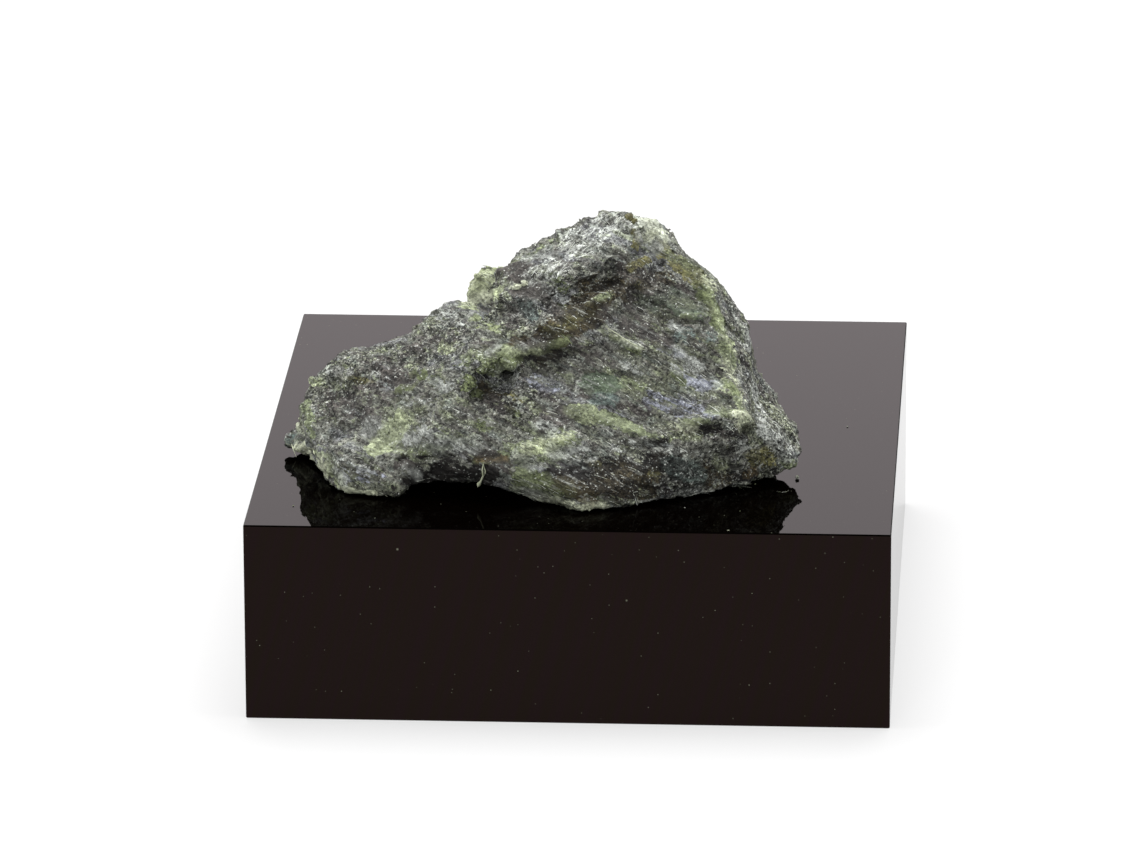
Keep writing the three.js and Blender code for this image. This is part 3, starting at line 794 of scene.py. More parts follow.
    ("hollow olive", (560, 322), (590, 308), 6, Hue.OLIVE, 0.5),
    ("wing seam dark", (398, 360), (416, 392), 5, Hue.DARK, 0.4),
    ("crest dark", (428, 336), (452, 346), 6, Hue.DARK, 0.4),
    ("face mist", (606, 340), (640, 344), 4, Hue.MIST, 0.3),
    ("foot left light", (526, 492), (542, 496), 5, Hue.MIST, 0.4),
    ("hem grey", (440, 450), (480, 442), 7, Hue.MIST, 0.4),
    ("knob top dark", (506, 362), (518, 360), 5, Hue.MOSS, 0.7),
    ("corner foot light", (742, 428), (752, 428), 5, Hue.PALE, 0.5),
    ("bar foot dark", (572, 310), (590, 306), 7, Hue.UMBER, 0.85),
    ("bar side dark", (584, 294), (610, 290), 5, Hue.UMBER, 0.6),
    ("hem hollow dark", (398, 464), (410, 464), 6, Hue.DARK, 0.7),
    ("step gap dark", (524, 346), (540, 342), 6, Hue.DARK, 0.6),
    ("heel foot dark", (746, 474), (776, 472), 5, Hue.BLACK, 0.5),
    ("face light right", (678, 366), (690, 368), 6, Hue.MIST, 0.6),
    ("bulge side dark", (552, 304), (560, 320), 7, Hue.DARK, 0.7),
    ("coat light", (566, 234), (580, 232), 6, Hue.WHITE, 0.4),
    ("peak foot dark", (478, 346), (488, 344), 6, Hue.DARK, 0.6),
    ("foot middle dark", (592, 470), (606, 472), 6, Hue.BLACK, 0.5),
    ("tip rim light", (298, 426), (302, 432), 5, Hue.PALE, 0.5),
    ("face top dark", (648, 288), (662, 288), 6, Hue.DARK, 0.5),
    ("face left dark", (572, 394), (586, 394), 6, Hue.DARK, 0.5),
)

# Raised lines and grooves, picked in the same way: name, start, end and half width in
# pixels, and height in millimetres.
RIDGES = listed(
    Ridge,
    ("lip shelf", (686, 420), (746, 419), 4, 0.3),
    ("under lip", (706, 433), (746, 431), 5, -0.4),
    ("vein ridge", (572, 410), (660, 438), 4, 0.12),
    ("under vein", (640, 444), (668, 444), 3, -0.2),
    ("sheet ridge", (512, 450), (574, 438), 6, 0.14),
    ("under sheet", (515, 464), (560, 462), 4, -0.15),
    ("lower ridge", (515, 480), (575, 490), 6, 0.14),
    ("step ridge", (505, 352), (566, 343), 4, 0.15),
    ("notch ledge", (466, 388), (502, 360), 4, 0.2),
    ("notch gap", (474, 396), (504, 368), 3, -0.15),
    ("under step", (508, 359), (566, 354), 2.5, -0.1),
    ("step bar", (588, 303), (614, 292), 4, 0.22),
    ("hollow", (584, 286), (618, 280), 6, -0.1),
    ("streak ledge", (610, 332), (643, 350), 3, 0.14),
    ("under streak", (610, 340), (640, 358), 3, -0.12),
    ("small ledge", (682, 316), (707, 316), 2.5, 0.14),
    ("small gap", (684, 322), (706, 322), 2.5, -0.2),
    ("hem gap", (400, 458), (452, 459), 3, -0.2),
    ("wing crest", (322, 376), (430, 326), 4, 0.1),
    ("edge ridge", (704, 280), (720, 320), 5, 0.14),
    ("edge low", (730, 380), (742, 418), 6, 0.16),
    ("wing valley", (345, 395), (372, 445), 8, -0.12),
    ("wing bead", (402, 388), (412, 389), 5, 0.18),
    ("olive lump", (632, 266), (646, 260), 5, 0.18),
    ("rim lump", (650, 226), (660, 238), 6, 0.14),
    ("oval edge", (588, 372), (640, 374), 3, -0.1),
    ("bulge top", (574, 228), (600, 217), 6, 0.28),
    ("bulge corner", (506, 258), (530, 250), 6, -0.15),
    ("bulge hem", (556, 299), (602, 277), 4, 0.3),
    ("bulge ledge", (552, 292), (603, 262), 4, -0.2),
    ("notch fill", (494, 376), (512, 364), 6, 0.3),
    ("flake edge", (472, 292), (480, 278), 4, 0.3),
    ("flake crest", (484, 276), (500, 272), 4, 0.3),
)


# Materials


def new_material(name: str) -> tuple[bpy.types.Material, Graph, bpy.types.Node]:
    """Starts a material.

    Args:
        name: the material's name.

    Returns:
        The material, its graph, and its shader node.
    """
    material = bpy.data.materials.new(name)
    material.use_nodes = True
    tree = material.node_tree
    return material, Graph(tree), tree.nodes["Principled BSDF"]


@dataclass(frozen=True)
class Tinge:
    """A hue that a noise brings into the grey rock."""

    look: Noise
    share: float
    hue: Hue


class StoneFinish:
    """The look of the rock. The tone attribute of a loose grain shifts its brightness, and the
    stone's light attribute is painted light and shade.
    """

    # The grey rock, and how its two tones come from the medium and the small noise.
    GREY_WEIGHTS = (0.6, 0.4)
    GREY_RISE = (0.37, 0.63)
    TINGES = (
        Tinge(Noise(0.55, 4.0, 0.6, rise=(0.5, 0.64)), 0.4, Hue.MOSS),
        Tinge(Noise(0.55, 4.0, 0.6, rise=(0.46, 0.36)), 0.3, Hue.LILAC),
        Tinge(Noise(2.0, 4.0, 0.65, (0.0, 17.0, 9.0), (0.46, 0.36)), 0.4, Hue.SEA),
        Tinge(Noise(2.0, 4.0, 0.65, (0.0, 17.0, 9.0), (0.54, 0.64)), 0.6, Hue.LEAF),
        Tinge(Noise(3.0, 5.0, 0.75, (11.0, 5.0, 2.0), (0.43, 0.36)), 0.7, Hue.BLACK),
    )
    # The markings: the noise that eats into their cover, and the one that varies them.
    MOTTLE = Noise(2.6, 5.0, 0.75, (3.0, 9.0, 5.0), (0.34, 0.66))
    MOTTLE_SHARE = 0.95
    COVER_SHARE = 1.1
    COVER_RISE = (-0.02, 0.13)
    VEINS = Noise(2.4, 5.0, 0.75, (2.0, 11.0, 6.0), (0.36, 0.64))
    VEIN_TONES = (0.66, 0.6)
    # Cracks and hairs along the layers.
    CRACK_STRETCH = (0.3, 1.1)
    CRACKED = Noise(0.9, 2.0, 0.5, (4.0, 13.0, 1.0), (0.48, 0.6))
    SEAM = Noise(1.7, 4.0, 0.65, (5.0, 2.0, 8.0))
    SEAM_RISE = (0.02, 0.006)
    CRACK_SHARE = 0.75
    HAIR_STRETCH = (0.14, 1.0)
    HAIR = Noise(5.0, 2.0, 0.6, rise=(0.58, 0.68))
    HAIR_SHARE = 0.35
    # The white coat, drawn out along its strands.
    STRAND_SCALES = (1.1, 4.5, 2.0)
    STRANDS = Noise(1.0, 4.0, 0.75, rise=(0.42, 0.6))
    CLUMP = Noise(1.3, 3.0, 0.6, (7.0, 1.0, 4.0), (0.4, 0.58))
    COAT_SHARES = (0.04, 0.16, 0.5)
    # Crystals, larger plates and smaller chips, in cells to a millimetre.
    CRYSTAL_BEND = 0.4
    PLATE_CELLS = 2.3
    CHIP_CELLS = 5.2
    CHIP_SHIFT = Vector((3.0, 1.0, 7.0))
    PLATE_TONE = 0.4
    CHIP_TONE = 0.6
    # Light and dark grains, and painted glints: white specks that stand for light caught by crystal
    # faces.
    FINE = Noise(9.0, 3.0, 0.8)
    FINE_RISE = (0.38, 0.62)
    FINE_TONE = 0.6
    SALT_BEND = 0.3
    SALT_CELLS = 9.5
    SALT_TONE = 1.3
    MEAN_BRIGHT = 0.95
    LEAST_BRIGHT = 0.12
    GAIN = 0.9
    DARK_GRAINS = (0.2, 0.16)
    DARK_SHARE = 0.75
    SPARK_RISE = (0.36, 0.2)
    SPARK_EDGE = 0.02
    # How much of all that graininess shows under a marking and in a granular zone.
    CALM_COVERED = 0.45
    CALM_GRANULAR = 0.3
    # The surface itself.
    BUMP_CELLS = 7.0
    BUMP_GRIT = Noise(10.0, 3.0, 0.75)
    BUMP_DEPTH = 0.05
    BUMP_STRENGTH = 0.9
    ROUGHNESS = 0.8
    GLOSSY_RISE = (0.5, 0.7)
    GLOSSY_SHARE = 0.3
    SPECULAR = 0.25

    def __init__(self, name: str, sparkle: float = 0.13) -> None:
        """Starts the material, with what its layers of colour share.

        Args:
            name: the material's name.
            sparkle: the share of the grains that may get a painted glint.
        """
        self.sparkle = sparkle
        self.material, self.graph, self.shader = new_material(name)
        self.place = self.graph.object_place()
        self.layers = self.graph.layered(self.place, *STRETCH)
        self.fine = self.graph.noise(self.place, self.FINE)
        self.granular = self.graph.number("granular")
        # The patches' colour, painted light and shade among it, and how much they cover.
        colour_light_and_shade = self.graph.node("ShaderNodeAttribute", {"attribute_name": "colour_light_and_shade"})
        self.colour_light_and_shade = Triple(self.graph, colour_light_and_shade.outputs["Color"])
        self.cover = Scalar(self.graph, colour_light_and_shade.outputs["Alpha"])
        self.calm = 1.0 - self.cover * self.CALM_COVERED + self.granular * self.CALM_GRANULAR

    def build(self) -> bpy.types.Material:
        """Makes the material.

        Returns:
            The material.
        """
        glossy = self.fine.ease(*self.GLOSSY_RISE) * self.GLOSSY_SHARE
        colour = self._coat(self._streaks(self._marked(self._matrix())))
        sockets = {
            "Base Color": self._salt(self._facets(colour)),
            "Roughness": self.ROUGHNESS - glossy,
            "Normal": self._bump(),
            "Specular IOR Level": self.SPECULAR,
        }
        self.graph.fill(self.shader, sockets)
        return self.material

    def _matrix(self) -> Triple:
        """Colours the grey rock between the markings.

        Returns:
            The colour.
        """
        medium = self.graph.noise(self.layers, MEDIUM) * self.GREY_WEIGHTS[0]
        small = self.graph.noise(self.place, SMALL) * self.GREY_WEIGHTS[1]
        grey = (medium + small).ease(*self.GREY_RISE)
        colour = self.graph.mix(grey, Hue.DARK.value, Hue.GREY.value)
        for tinge in self.TINGES:
            share = self.graph.noise(self.layers, tinge.look) * tinge.share
            colour = self.graph.mix(share, colour, tinge.hue.value)
        return colour

    def _marked(self, colour: Triple) -> Triple:
        """Lays the markings, painted light and shade among them, over the grey rock, broken up by
        noise.

        Args:
            colour: the rock's colour below.

        Returns:
            The colour with the markings.
        """
        least, more = self.VEIN_TONES
        colour_light_and_shade = self.colour_light_and_shade * (least + self.graph.noise(self.layers, self.VEINS) * more)
        eaten = self.graph.noise(self.layers, self.MOTTLE) * self.MOTTLE_SHARE
        share = (self.cover * self.COVER_SHARE - eaten).ease(*self.COVER_RISE)
        return self.graph.mix(share, colour, colour_light_and_shade)

    def _streaks(self, colour: Triple) -> Triple:
        """Draws fine dark cracks and pale hairs along the layers.

        Args:
            colour: the rock's colour below.

        Returns:
            The colour with the streaks.
        """
        run = self.graph.layered(self.place, *self.CRACK_STRETCH)
        seam = (self.graph.noise(run, self.SEAM) - 0.5).size().ease(*self.SEAM_RISE)
        crack = seam * self.graph.noise(run, self.CRACKED) * self.CRACK_SHARE
        colour = self.graph.mix(crack, colour, Hue.BLACK.value)
        thin = self.graph.layered(self.place, *self.HAIR_STRETCH)
        hair = self.graph.noise(thin, self.HAIR) * self.HAIR_SHARE
        return self.graph.mix(hair, colour, Hue.MIST.value)

    def _coat(self, colour: Triple) -> Triple:
        """Lays the white fibrous coat over the bulge.

        Args:
            colour: the rock's colour below.

        Returns:
            The colour with the coat.
        """
        ways = (COAT_STREAK, COAT_STREAK.cross(SPLIT_NORMAL).normalized(), SPLIT_NORMAL)
        strands = self.graph.combine(
            *(self.place.dot(way) * scale for way, scale in zip(ways, self.STRAND_SCALES))
        )
        strength = self.graph.noise(strands, self.STRANDS)
        clump = self.graph.noise(self.place, self.CLUMP)
        least, strand, clumped = self.COAT_SHARES
        amount = self.graph.number("coat") * (least + strength * (strand + clump * clumped))
        return self.graph.mix(amount, colour, Hue.WHITE.value)

    def _facets(self, colour: Triple) -> Triple:
        """Breaks the colour into sharp-edged crystals, long along the layers.

        Args:
            colour: the colour so far.

        Returns:
            The crystalline colour.
        """
        bent = self.graph.bent(self.layers, self.fine, self.CRYSTAL_BEND)
        _, plate, _ = self.graph.cells(bent, self.PLATE_CELLS)
        _, chip, _ = self.graph.cells(bent + self.CHIP_SHIFT, self.CHIP_CELLS)
        tone = (plate - 0.5) * self.PLATE_TONE + (chip - 0.5) * self.CHIP_TONE
        return colour * (tone * self.calm + 1.0)

    def _salt(self, colour: Triple) -> Triple:
        """Breaks the colour into light and dark grains, multiplies in the painted light and shade,
        and paints white glints on a few grains.

        Args:
            colour: the colour so far.

        Returns:
            The grainy colour.
        """
        tone = self.graph.number("tone")
        # The stone's painted light and shade: lighter on ridges, darker in pits and on faces turned
        # down.
        light = self.graph.number("light")
        bent = self.graph.bent(self.place, self.fine, self.SALT_BEND)
        near, chance, other = self.graph.cells(bent, self.SALT_CELLS)
        fine = (self.fine.ease(*self.FINE_RISE) - 0.5) * self.FINE_TONE
        grain = fine + (chance - 0.5) * self.SALT_TONE
        grain = grain * self.calm * (self.granular * 0.4 + 1.0)
        bright = (self.MEAN_BRIGHT + grain + tone) * light
        colour = colour * (bright.most(self.LEAST_BRIGHT) * self.GAIN)
        dark = near.ease(0.6, 0.4) * other.ease(*self.DARK_GRAINS) * self.calm * self.DARK_SHARE
        colour = self.graph.mix(dark, colour, Hue.BLACK.value)
        # Painted glints: a few grains turn white, as if they caught the light, and less so where
        # shade is painted.
        start = 1 - self.sparkle
        shiny = (other + self.granular * 0.08).ease(start, start + self.SPARK_EDGE)
        spark = (near - chance * 0.1).ease(*self.SPARK_RISE) * shiny
        spark = spark * (light * 0.6 + 0.4) * (0.15 + chance * 0.5)
        return self.graph.mix(spark, colour, Hue.WHITE.value)

    def _bump(self) -> bpy.types.NodeSocket:
        """Roughens the surface below the size of its mesh.

        Returns:
            The bent normal.
        """
        near, chance, _ = self.graph.cells(self.place, self.BUMP_CELLS)
        grit = self.graph.noise(self.layers, self.BUMP_GRIT)
        sockets = {
            "Strength": self.BUMP_STRENGTH,
            "Distance": self.BUMP_DEPTH * MM,
            "Height": (chance * 0.4 + near * 0.3 + grit + self.fine * 0.6) * self.calm,
        }
        return self.graph.first("ShaderNodeBump", None, sockets)


@dataclass(frozen=True)
class ThreadFinish:
    """The look of fibres and lumps: two hues, mottled, and a little light let through."""

    name: str
    hue: Hue
    shade: Hue
    roughness: float = 0.55
    specular: float = 0.3
    glow: float = 0.1
    glow_depth: float = 0.3
    mottle: Noise = Noise(4.0, 4.0, 0.7, rise=(0.35, 0.6))

    def build(self) -> bpy.types.Material:
        """Makes the material.

        Returns:
            The material.
        """
        material, graph, shader = new_material(self.name)
        mottle = graph.noise(graph.object_place(), self.mottle)
        sockets = {
            "Base Color": graph.mix(mottle, self.shade.value, self.hue.value),
            "Roughness": self.roughness,
            "Specular IOR Level": self.specular,
            "Subsurface Weight": self.glow,
            "Subsurface Radius": (self.glow_depth * MM,) * 3,
        }
        graph.fill(shader, sockets)
        return material


@dataclass(frozen=True)
class Dust:
    """Specks on a surface, in cells to a millimetre, each with a speck or none."""

    cells: float
    edge: tuple[float, float]
    bare: float
    shift: Point = (0.0, 0.0, 0.0)


@dataclass(frozen=True)
class AcrylicFinish:
    """Black acrylic with a little dust on it: a polished top, and sides with saw marks, whose
    colour is partly painted reflection of the white floor.
    """

    name: str = "black acrylic"
    top_colour: Colour = (0.0004, 0.0002, 0.0001, 1.0)
    # The sides' colours are partly the saw-cut matte finish and partly painted reflection of the
    # white floor in front.
    side_colour_and_reflection: Colour = (0.0104, 0.0070, 0.0054, 1.0)
    stripe_colour: Colour = (0.0110, 0.0065, 0.0066, 1.0)
    stripe_normal: Point = (1.0, 0.3, -0.28)
    stripe: Noise = Noise(1.8, 4.0, 0.6, rise=(0.4, 0.6))
    coarse: Dust = Dust(0.62, (0.05, 0.02), 0.8)
    fine: Dust = Dust(2.2, (0.08, 0.03), 0.5, (5.0, 3.0, 8.0))
    fine_tones: tuple[float, float] = (0.1, 0.8)
    fine_off_top: float = 0.2
    dust_tones: tuple[float, float] = (0.15, 0.4)
    dust_roughness: float = 0.6
    refraction: float = 1.055
    roughness: float = 0.02
    top_from: float = 9.93

    def build(self) -> bpy.types.Material:
        """Makes the material.

        Returns:
            The material.
        """
        material, graph, shader = new_material(self.name)
        place = graph.object_place()
        on_top = place.dot(Vector((0.0, 0.0, 1.0))).above(self.top_from)
        across = place.dot(Vector(self.stripe_normal).normalized())
        marks = graph.noise(graph.combine(across, 0.0, 0.0), self.stripe)
        colour = graph.mix(marks, self.side_colour_and_reflection, self.stripe_colour)
        colour = graph.mix(on_top, colour, self.top_colour)
        speck, size = self._specks(graph, place, self.coarse)
        pin, bright = self._specks(graph, place, self.fine)
        least, more = self.fine_tones
        pin = pin * (bright * more + least) * (1.0 - on_top * self.fine_off_top)
        speck = speck.most(pin)
        least, more = self.dust_tones
        sockets = {
            "Base Color": graph.mix(speck * (least + size * more), colour, Hue.PALE.value),
            "Roughness": self.roughness + speck * self.dust_roughness,
            "IOR": self.refraction,
        }
        graph.fill(shader, sockets)
        return material

    @staticmethod
    def _specks(graph: Graph, place: Triple, dust: Dust) -> tuple[Scalar, Scalar]:
        """Scatters specks.

        Args:
            graph: the graph to build in.
            place: where, in millimetres.
            dust: what they are like.

        Returns:
            1 on a speck and 0 beside it, and a random number of each.
        """
        near, chance, other = graph.cells(place + Vector(dust.shift), dust.cells)
        return near.ease(*dust.edge) * chance.above(dust.bare), other


# Pieces


def placed(name: str, data: bpy.types.ID) -> bpy.types.Object:
    """Puts data into the scene.

    Args:
        name: the new object's name.
        data: its mesh, light or camera.

    Returns:
        The new object, at the origin.
    """
    thing = bpy.data.objects.new(name, data)
    bpy.context.scene.collection.objects.link(thing)
    return thing


def mesh_of(work: bmesh.types.BMesh, name: str) -> bpy.types.Mesh:
    """Turns an edit mesh into a mesh.

    Args:
        work: the edit mesh, which is freed.
        name: the new mesh's name.

    Returns:
        The mesh.
    """
    mesh = bpy.data.meshes.new(name)
    work.to_mesh(mesh)
    work.free()
    return mesh


def dress(mesh: bpy.types.Mesh, finish: bpy.types.Material) -> None:
    """Gives a mesh one material and no other."""
    mesh.materials.clear()
    mesh.materials.append(finish)


def plain_mesh(holder: bpy.types.Object, name: str) -> bpy.types.Object:
    """Turns an object with modifiers into one with a plain mesh.

    Args:
        holder: the object, which is removed.
        name: the new object's name.

    Returns:
        The new object, at the origin.
    """
    depsgraph = bpy.context.evaluated_depsgraph_get()
    mesh = bpy.data.meshes.new_from_object(holder.evaluated_get(depsgraph))
    bpy.data.objects.remove(holder)
    mesh.name = name
    return placed(name, mesh)


def geometry_tree(name: str) -> tuple[Graph, bpy.types.Node, bpy.types.Node]:
    """Starts a geometry node tree.

    Args:
        name: the tree's name.

    Returns:
        The graph, and its group input and output nodes.
    """
    tree = bpy.data.node_groups.new(name, "GeometryNodeTree")
    for side in ("INPUT", "OUTPUT"):
        tree.interface.new_socket("Geometry", in_out=side, socket_type="NodeSocketGeometry")
    return Graph(tree), tree.nodes.new("NodeGroupInput"), tree.nodes.new("NodeGroupOutput")


def named_input(graph: Graph, name: str, value: float | int, kind: str) -> str:
    """Adds a named input to a geometry tree.

    Args:
        graph: the tree's graph.
        name: the input's name.
        value: its default.
        kind: the socket's type.

    Returns:
        The socket's identifier.
    """
    item = graph.tree.interface.new_socket(name, in_out="INPUT", socket_type=kind)
    item.default_value = value
    return item.identifier


def read_vectors(items: bpy.types.bpy_prop_collection, name: str) -> np.ndarray:
    """Reads a vector of each item.

    Args:
        items: the items.
        name: the vector's name.

    Returns:
        The vectors, in rows.
    """
    values = np.empty(len(items) * 3)
    items.foreach_get(name, values)
    return values.reshape(-1, 3)


def read_numbers(mesh: bpy.types.Mesh, name: str) -> np.ndarray:
    """Takes a number of each vertex out of a mesh.

    Args:
        mesh: the mesh, which loses the attribute.
        name: the attribute's name.

    Returns:
        The numbers.
    """
    values = np.empty(len(mesh.vertices))
    mesh.attributes[name].data.foreach_get("value", values)
    mesh.attributes.remove(mesh.attributes[name])
    return values


def write_numbers(mesh: bpy.types.Mesh, name: str, values: np.ndarray) -> None:
    """Gives each vertex of a mesh a number, as an attribute of that name."""
    attribute = mesh.attributes.new(name, "FLOAT", "POINT")
    attribute.data.foreach_set("value", values)


def keep_in_box(mesh: bpy.types.Mesh, source: bpy.types.Object) -> None:
    """Keeps a mesh inside a solid's own box.

    Args:
        mesh: the mesh.
        source: the part's solid.
    """
    corners = np.array([source.matrix_world @ Vector(corner) for corner in source.bound_box])
    points = read_vectors(mesh.vertices, "co")
    points = np.clip(points, corners.min(axis=0), corners.max(axis=0))
    mesh.vertices.foreach_set("co", points.ravel())
    mesh.update()


def standing_out(
    mesh: bpy.types.Mesh, points: np.ndarray, normals: np.ndarray, rounds: int
) -> np.ndarray:
    """Measures how far each vertex stands out of its surroundings.

    Args:
        mesh: the mesh.
        points: its vertices, in millimetres.
        normals: their normals.
        rounds: how many neighbours away the surroundings reach.

    Returns:
        The heights in millimetres, below 0 in pits.
    """
    pairs = np.empty(len(mesh.edges) * 2, dtype=np.int32)
    mesh.edges.foreach_get("vertices", pairs)
    here = np.concatenate((pairs[0::2], pairs[1::2]))
    there = np.concatenate((pairs[1::2], pairs[0::2]))
    neighbours = np.bincount(here)
    level = points
    for _ in range(rounds):
        sums = [np.bincount(here, weights=level[there, axis]) for axis in range(3)]
        level = np.column_stack(sums) / neighbours[:, None]
    return np.einsum("ij,ij->i", points - level, normals)


@dataclass(frozen=True)
class CameraPlace:
    """Where the picture is taken from, in degrees and millimetres."""

    azimuth: float = 3.38
    elevation: float = 18.21
    roll: float = -0.22
    distance: float = 450.34
    lens: float = 281.6
    sensor: float = 36.0
    target: Point = (-0.824, 0.0, 9.597)


class Sight:
    """Looks at the part's stone through pixels of the photograph, counted from its top left.

    Bands picked in the photograph get their places on the stone here. A pick is good to half
    a millimetre at best, so the places are rounded.
    """

    PHOTO_SIZE = (1140, 855)
    # A pixel shows the middle depth of those seen at these steps about it, across and down.
    STEPS = (-1.0, -0.5, 0.0, 0.5, 1.0)
    # A pick beside the stone is moved onto it: how far and by how much, and which ways.
    REACHES = range(0, 26, 2)
    WAYS = ((1, 0), (-1, 0), (0, 1), (0, -1), (1, 1), (-1, 1), (1, -1), (-1, -1))
    LEAST_HALF_WIDTH = 0.1

    def __init__(self, camera: CameraPlace, solid: bpy.types.Object) -> None:
        """Sets up the camera's axes and readies the stone for rays.

        Args:
            camera: where the photograph was taken from.
            solid: the part's stone.
        """
        azimuth, elevation, roll = (
            math.radians(angle) for angle in (camera.azimuth, camera.elevation, camera.roll)
        )
        away = Vector((math.sin(azimuth), -math.cos(azimuth), math.tan(elevation)))
        self.back = away.normalized()
        level = Vector((0.0, 0.0, 1.0)).cross(self.back).normalized()
        upright = self.back.cross(level)
        self.right = level * math.cos(roll) + upright * math.sin(roll)
        self.up = upright * math.cos(roll) - level * math.sin(roll)
        self.eye = Vector(camera.target) + self.back * camera.distance
        self.focus = camera.lens / camera.sensor * self.PHOTO_SIZE[0]
        self.pixels_per_mm = self.focus / camera.distance
        work = bmesh.new()
        work.from_mesh(solid.data)
        work.transform(Matrix.Scale(1 / MM, 4) @ solid.matrix_world)
        self.stone = BVHTree.FromBMesh(work)
        work.free()

    def bands(self, picked: tuple[Kind, ...]) -> list[Kind]:
        """Brings bands that were picked in the photograph onto the stone.

        Args:
            picked: the bands, in pixels.

        Returns:
            The same bands, in millimetres.
        """
        return [
            replace(
                band,
                start=self._place(band.start),
                end=self._place(band.end),
                half_width=self._size(band.half_width),
            )
            for band in picked
        ]

    def _size(self, pixels: float) -> float:
        """Turns a half width in pixels into millimetres."""
        return max(round(pixels / self.pixels_per_mm, 2), self.LEAST_HALF_WIDTH)

    def _place(self, pixel: Pixel) -> Point:
        """Finds the place on the stone that a pick means.

        Args:
            pixel: the pick.

        Returns:
            The place, in millimetres.

        Raises:
            ValueError: if the stone is nowhere near the pick.
        """
        for reach in self.REACHES:
            for across, down in self.WAYS:
                seen = self._seen(pixel[0] + across * reach, pixel[1] + down * reach)
                if seen is not None:
                    return tuple(round(value, 1) for value in seen)
        raise ValueError(f"the stone is nowhere near pixel {pixel}")

    def _seen(self, across: float, down: float) -> Vector | None:
        """Finds what a pixel shows of the stone.

        Args:
            across: the pixel's place from the left.
            down: its place from the top.

        Returns:
            The place in millimetres, or None beside the stone.
        """
        hits = (
            self.stone.ray_cast(self.eye, self._ray(across + right, down + below))[0]
            for right in self.STEPS
            for below in self.STEPS
        )
        depths = [(self.eye - hit).dot(self.back) for hit in hits if hit is not None]
        return self.eye + self._ray(across, down) * float(np.median(depths)) if depths else None

    def _ray(self, across: float, down: float) -> Vector:
        """Works out the way through a pixel, as far as it goes in one millimetre of depth.

        Args:
            across: the pixel's place from the left.
            down: its place from the top.

        Returns:
            The way.
        """
        width, height = self.PHOTO_SIZE
        aside = self.right * (across - width / 2) - self.up * (down - height / 2)
        return aside / self.focus - self.back


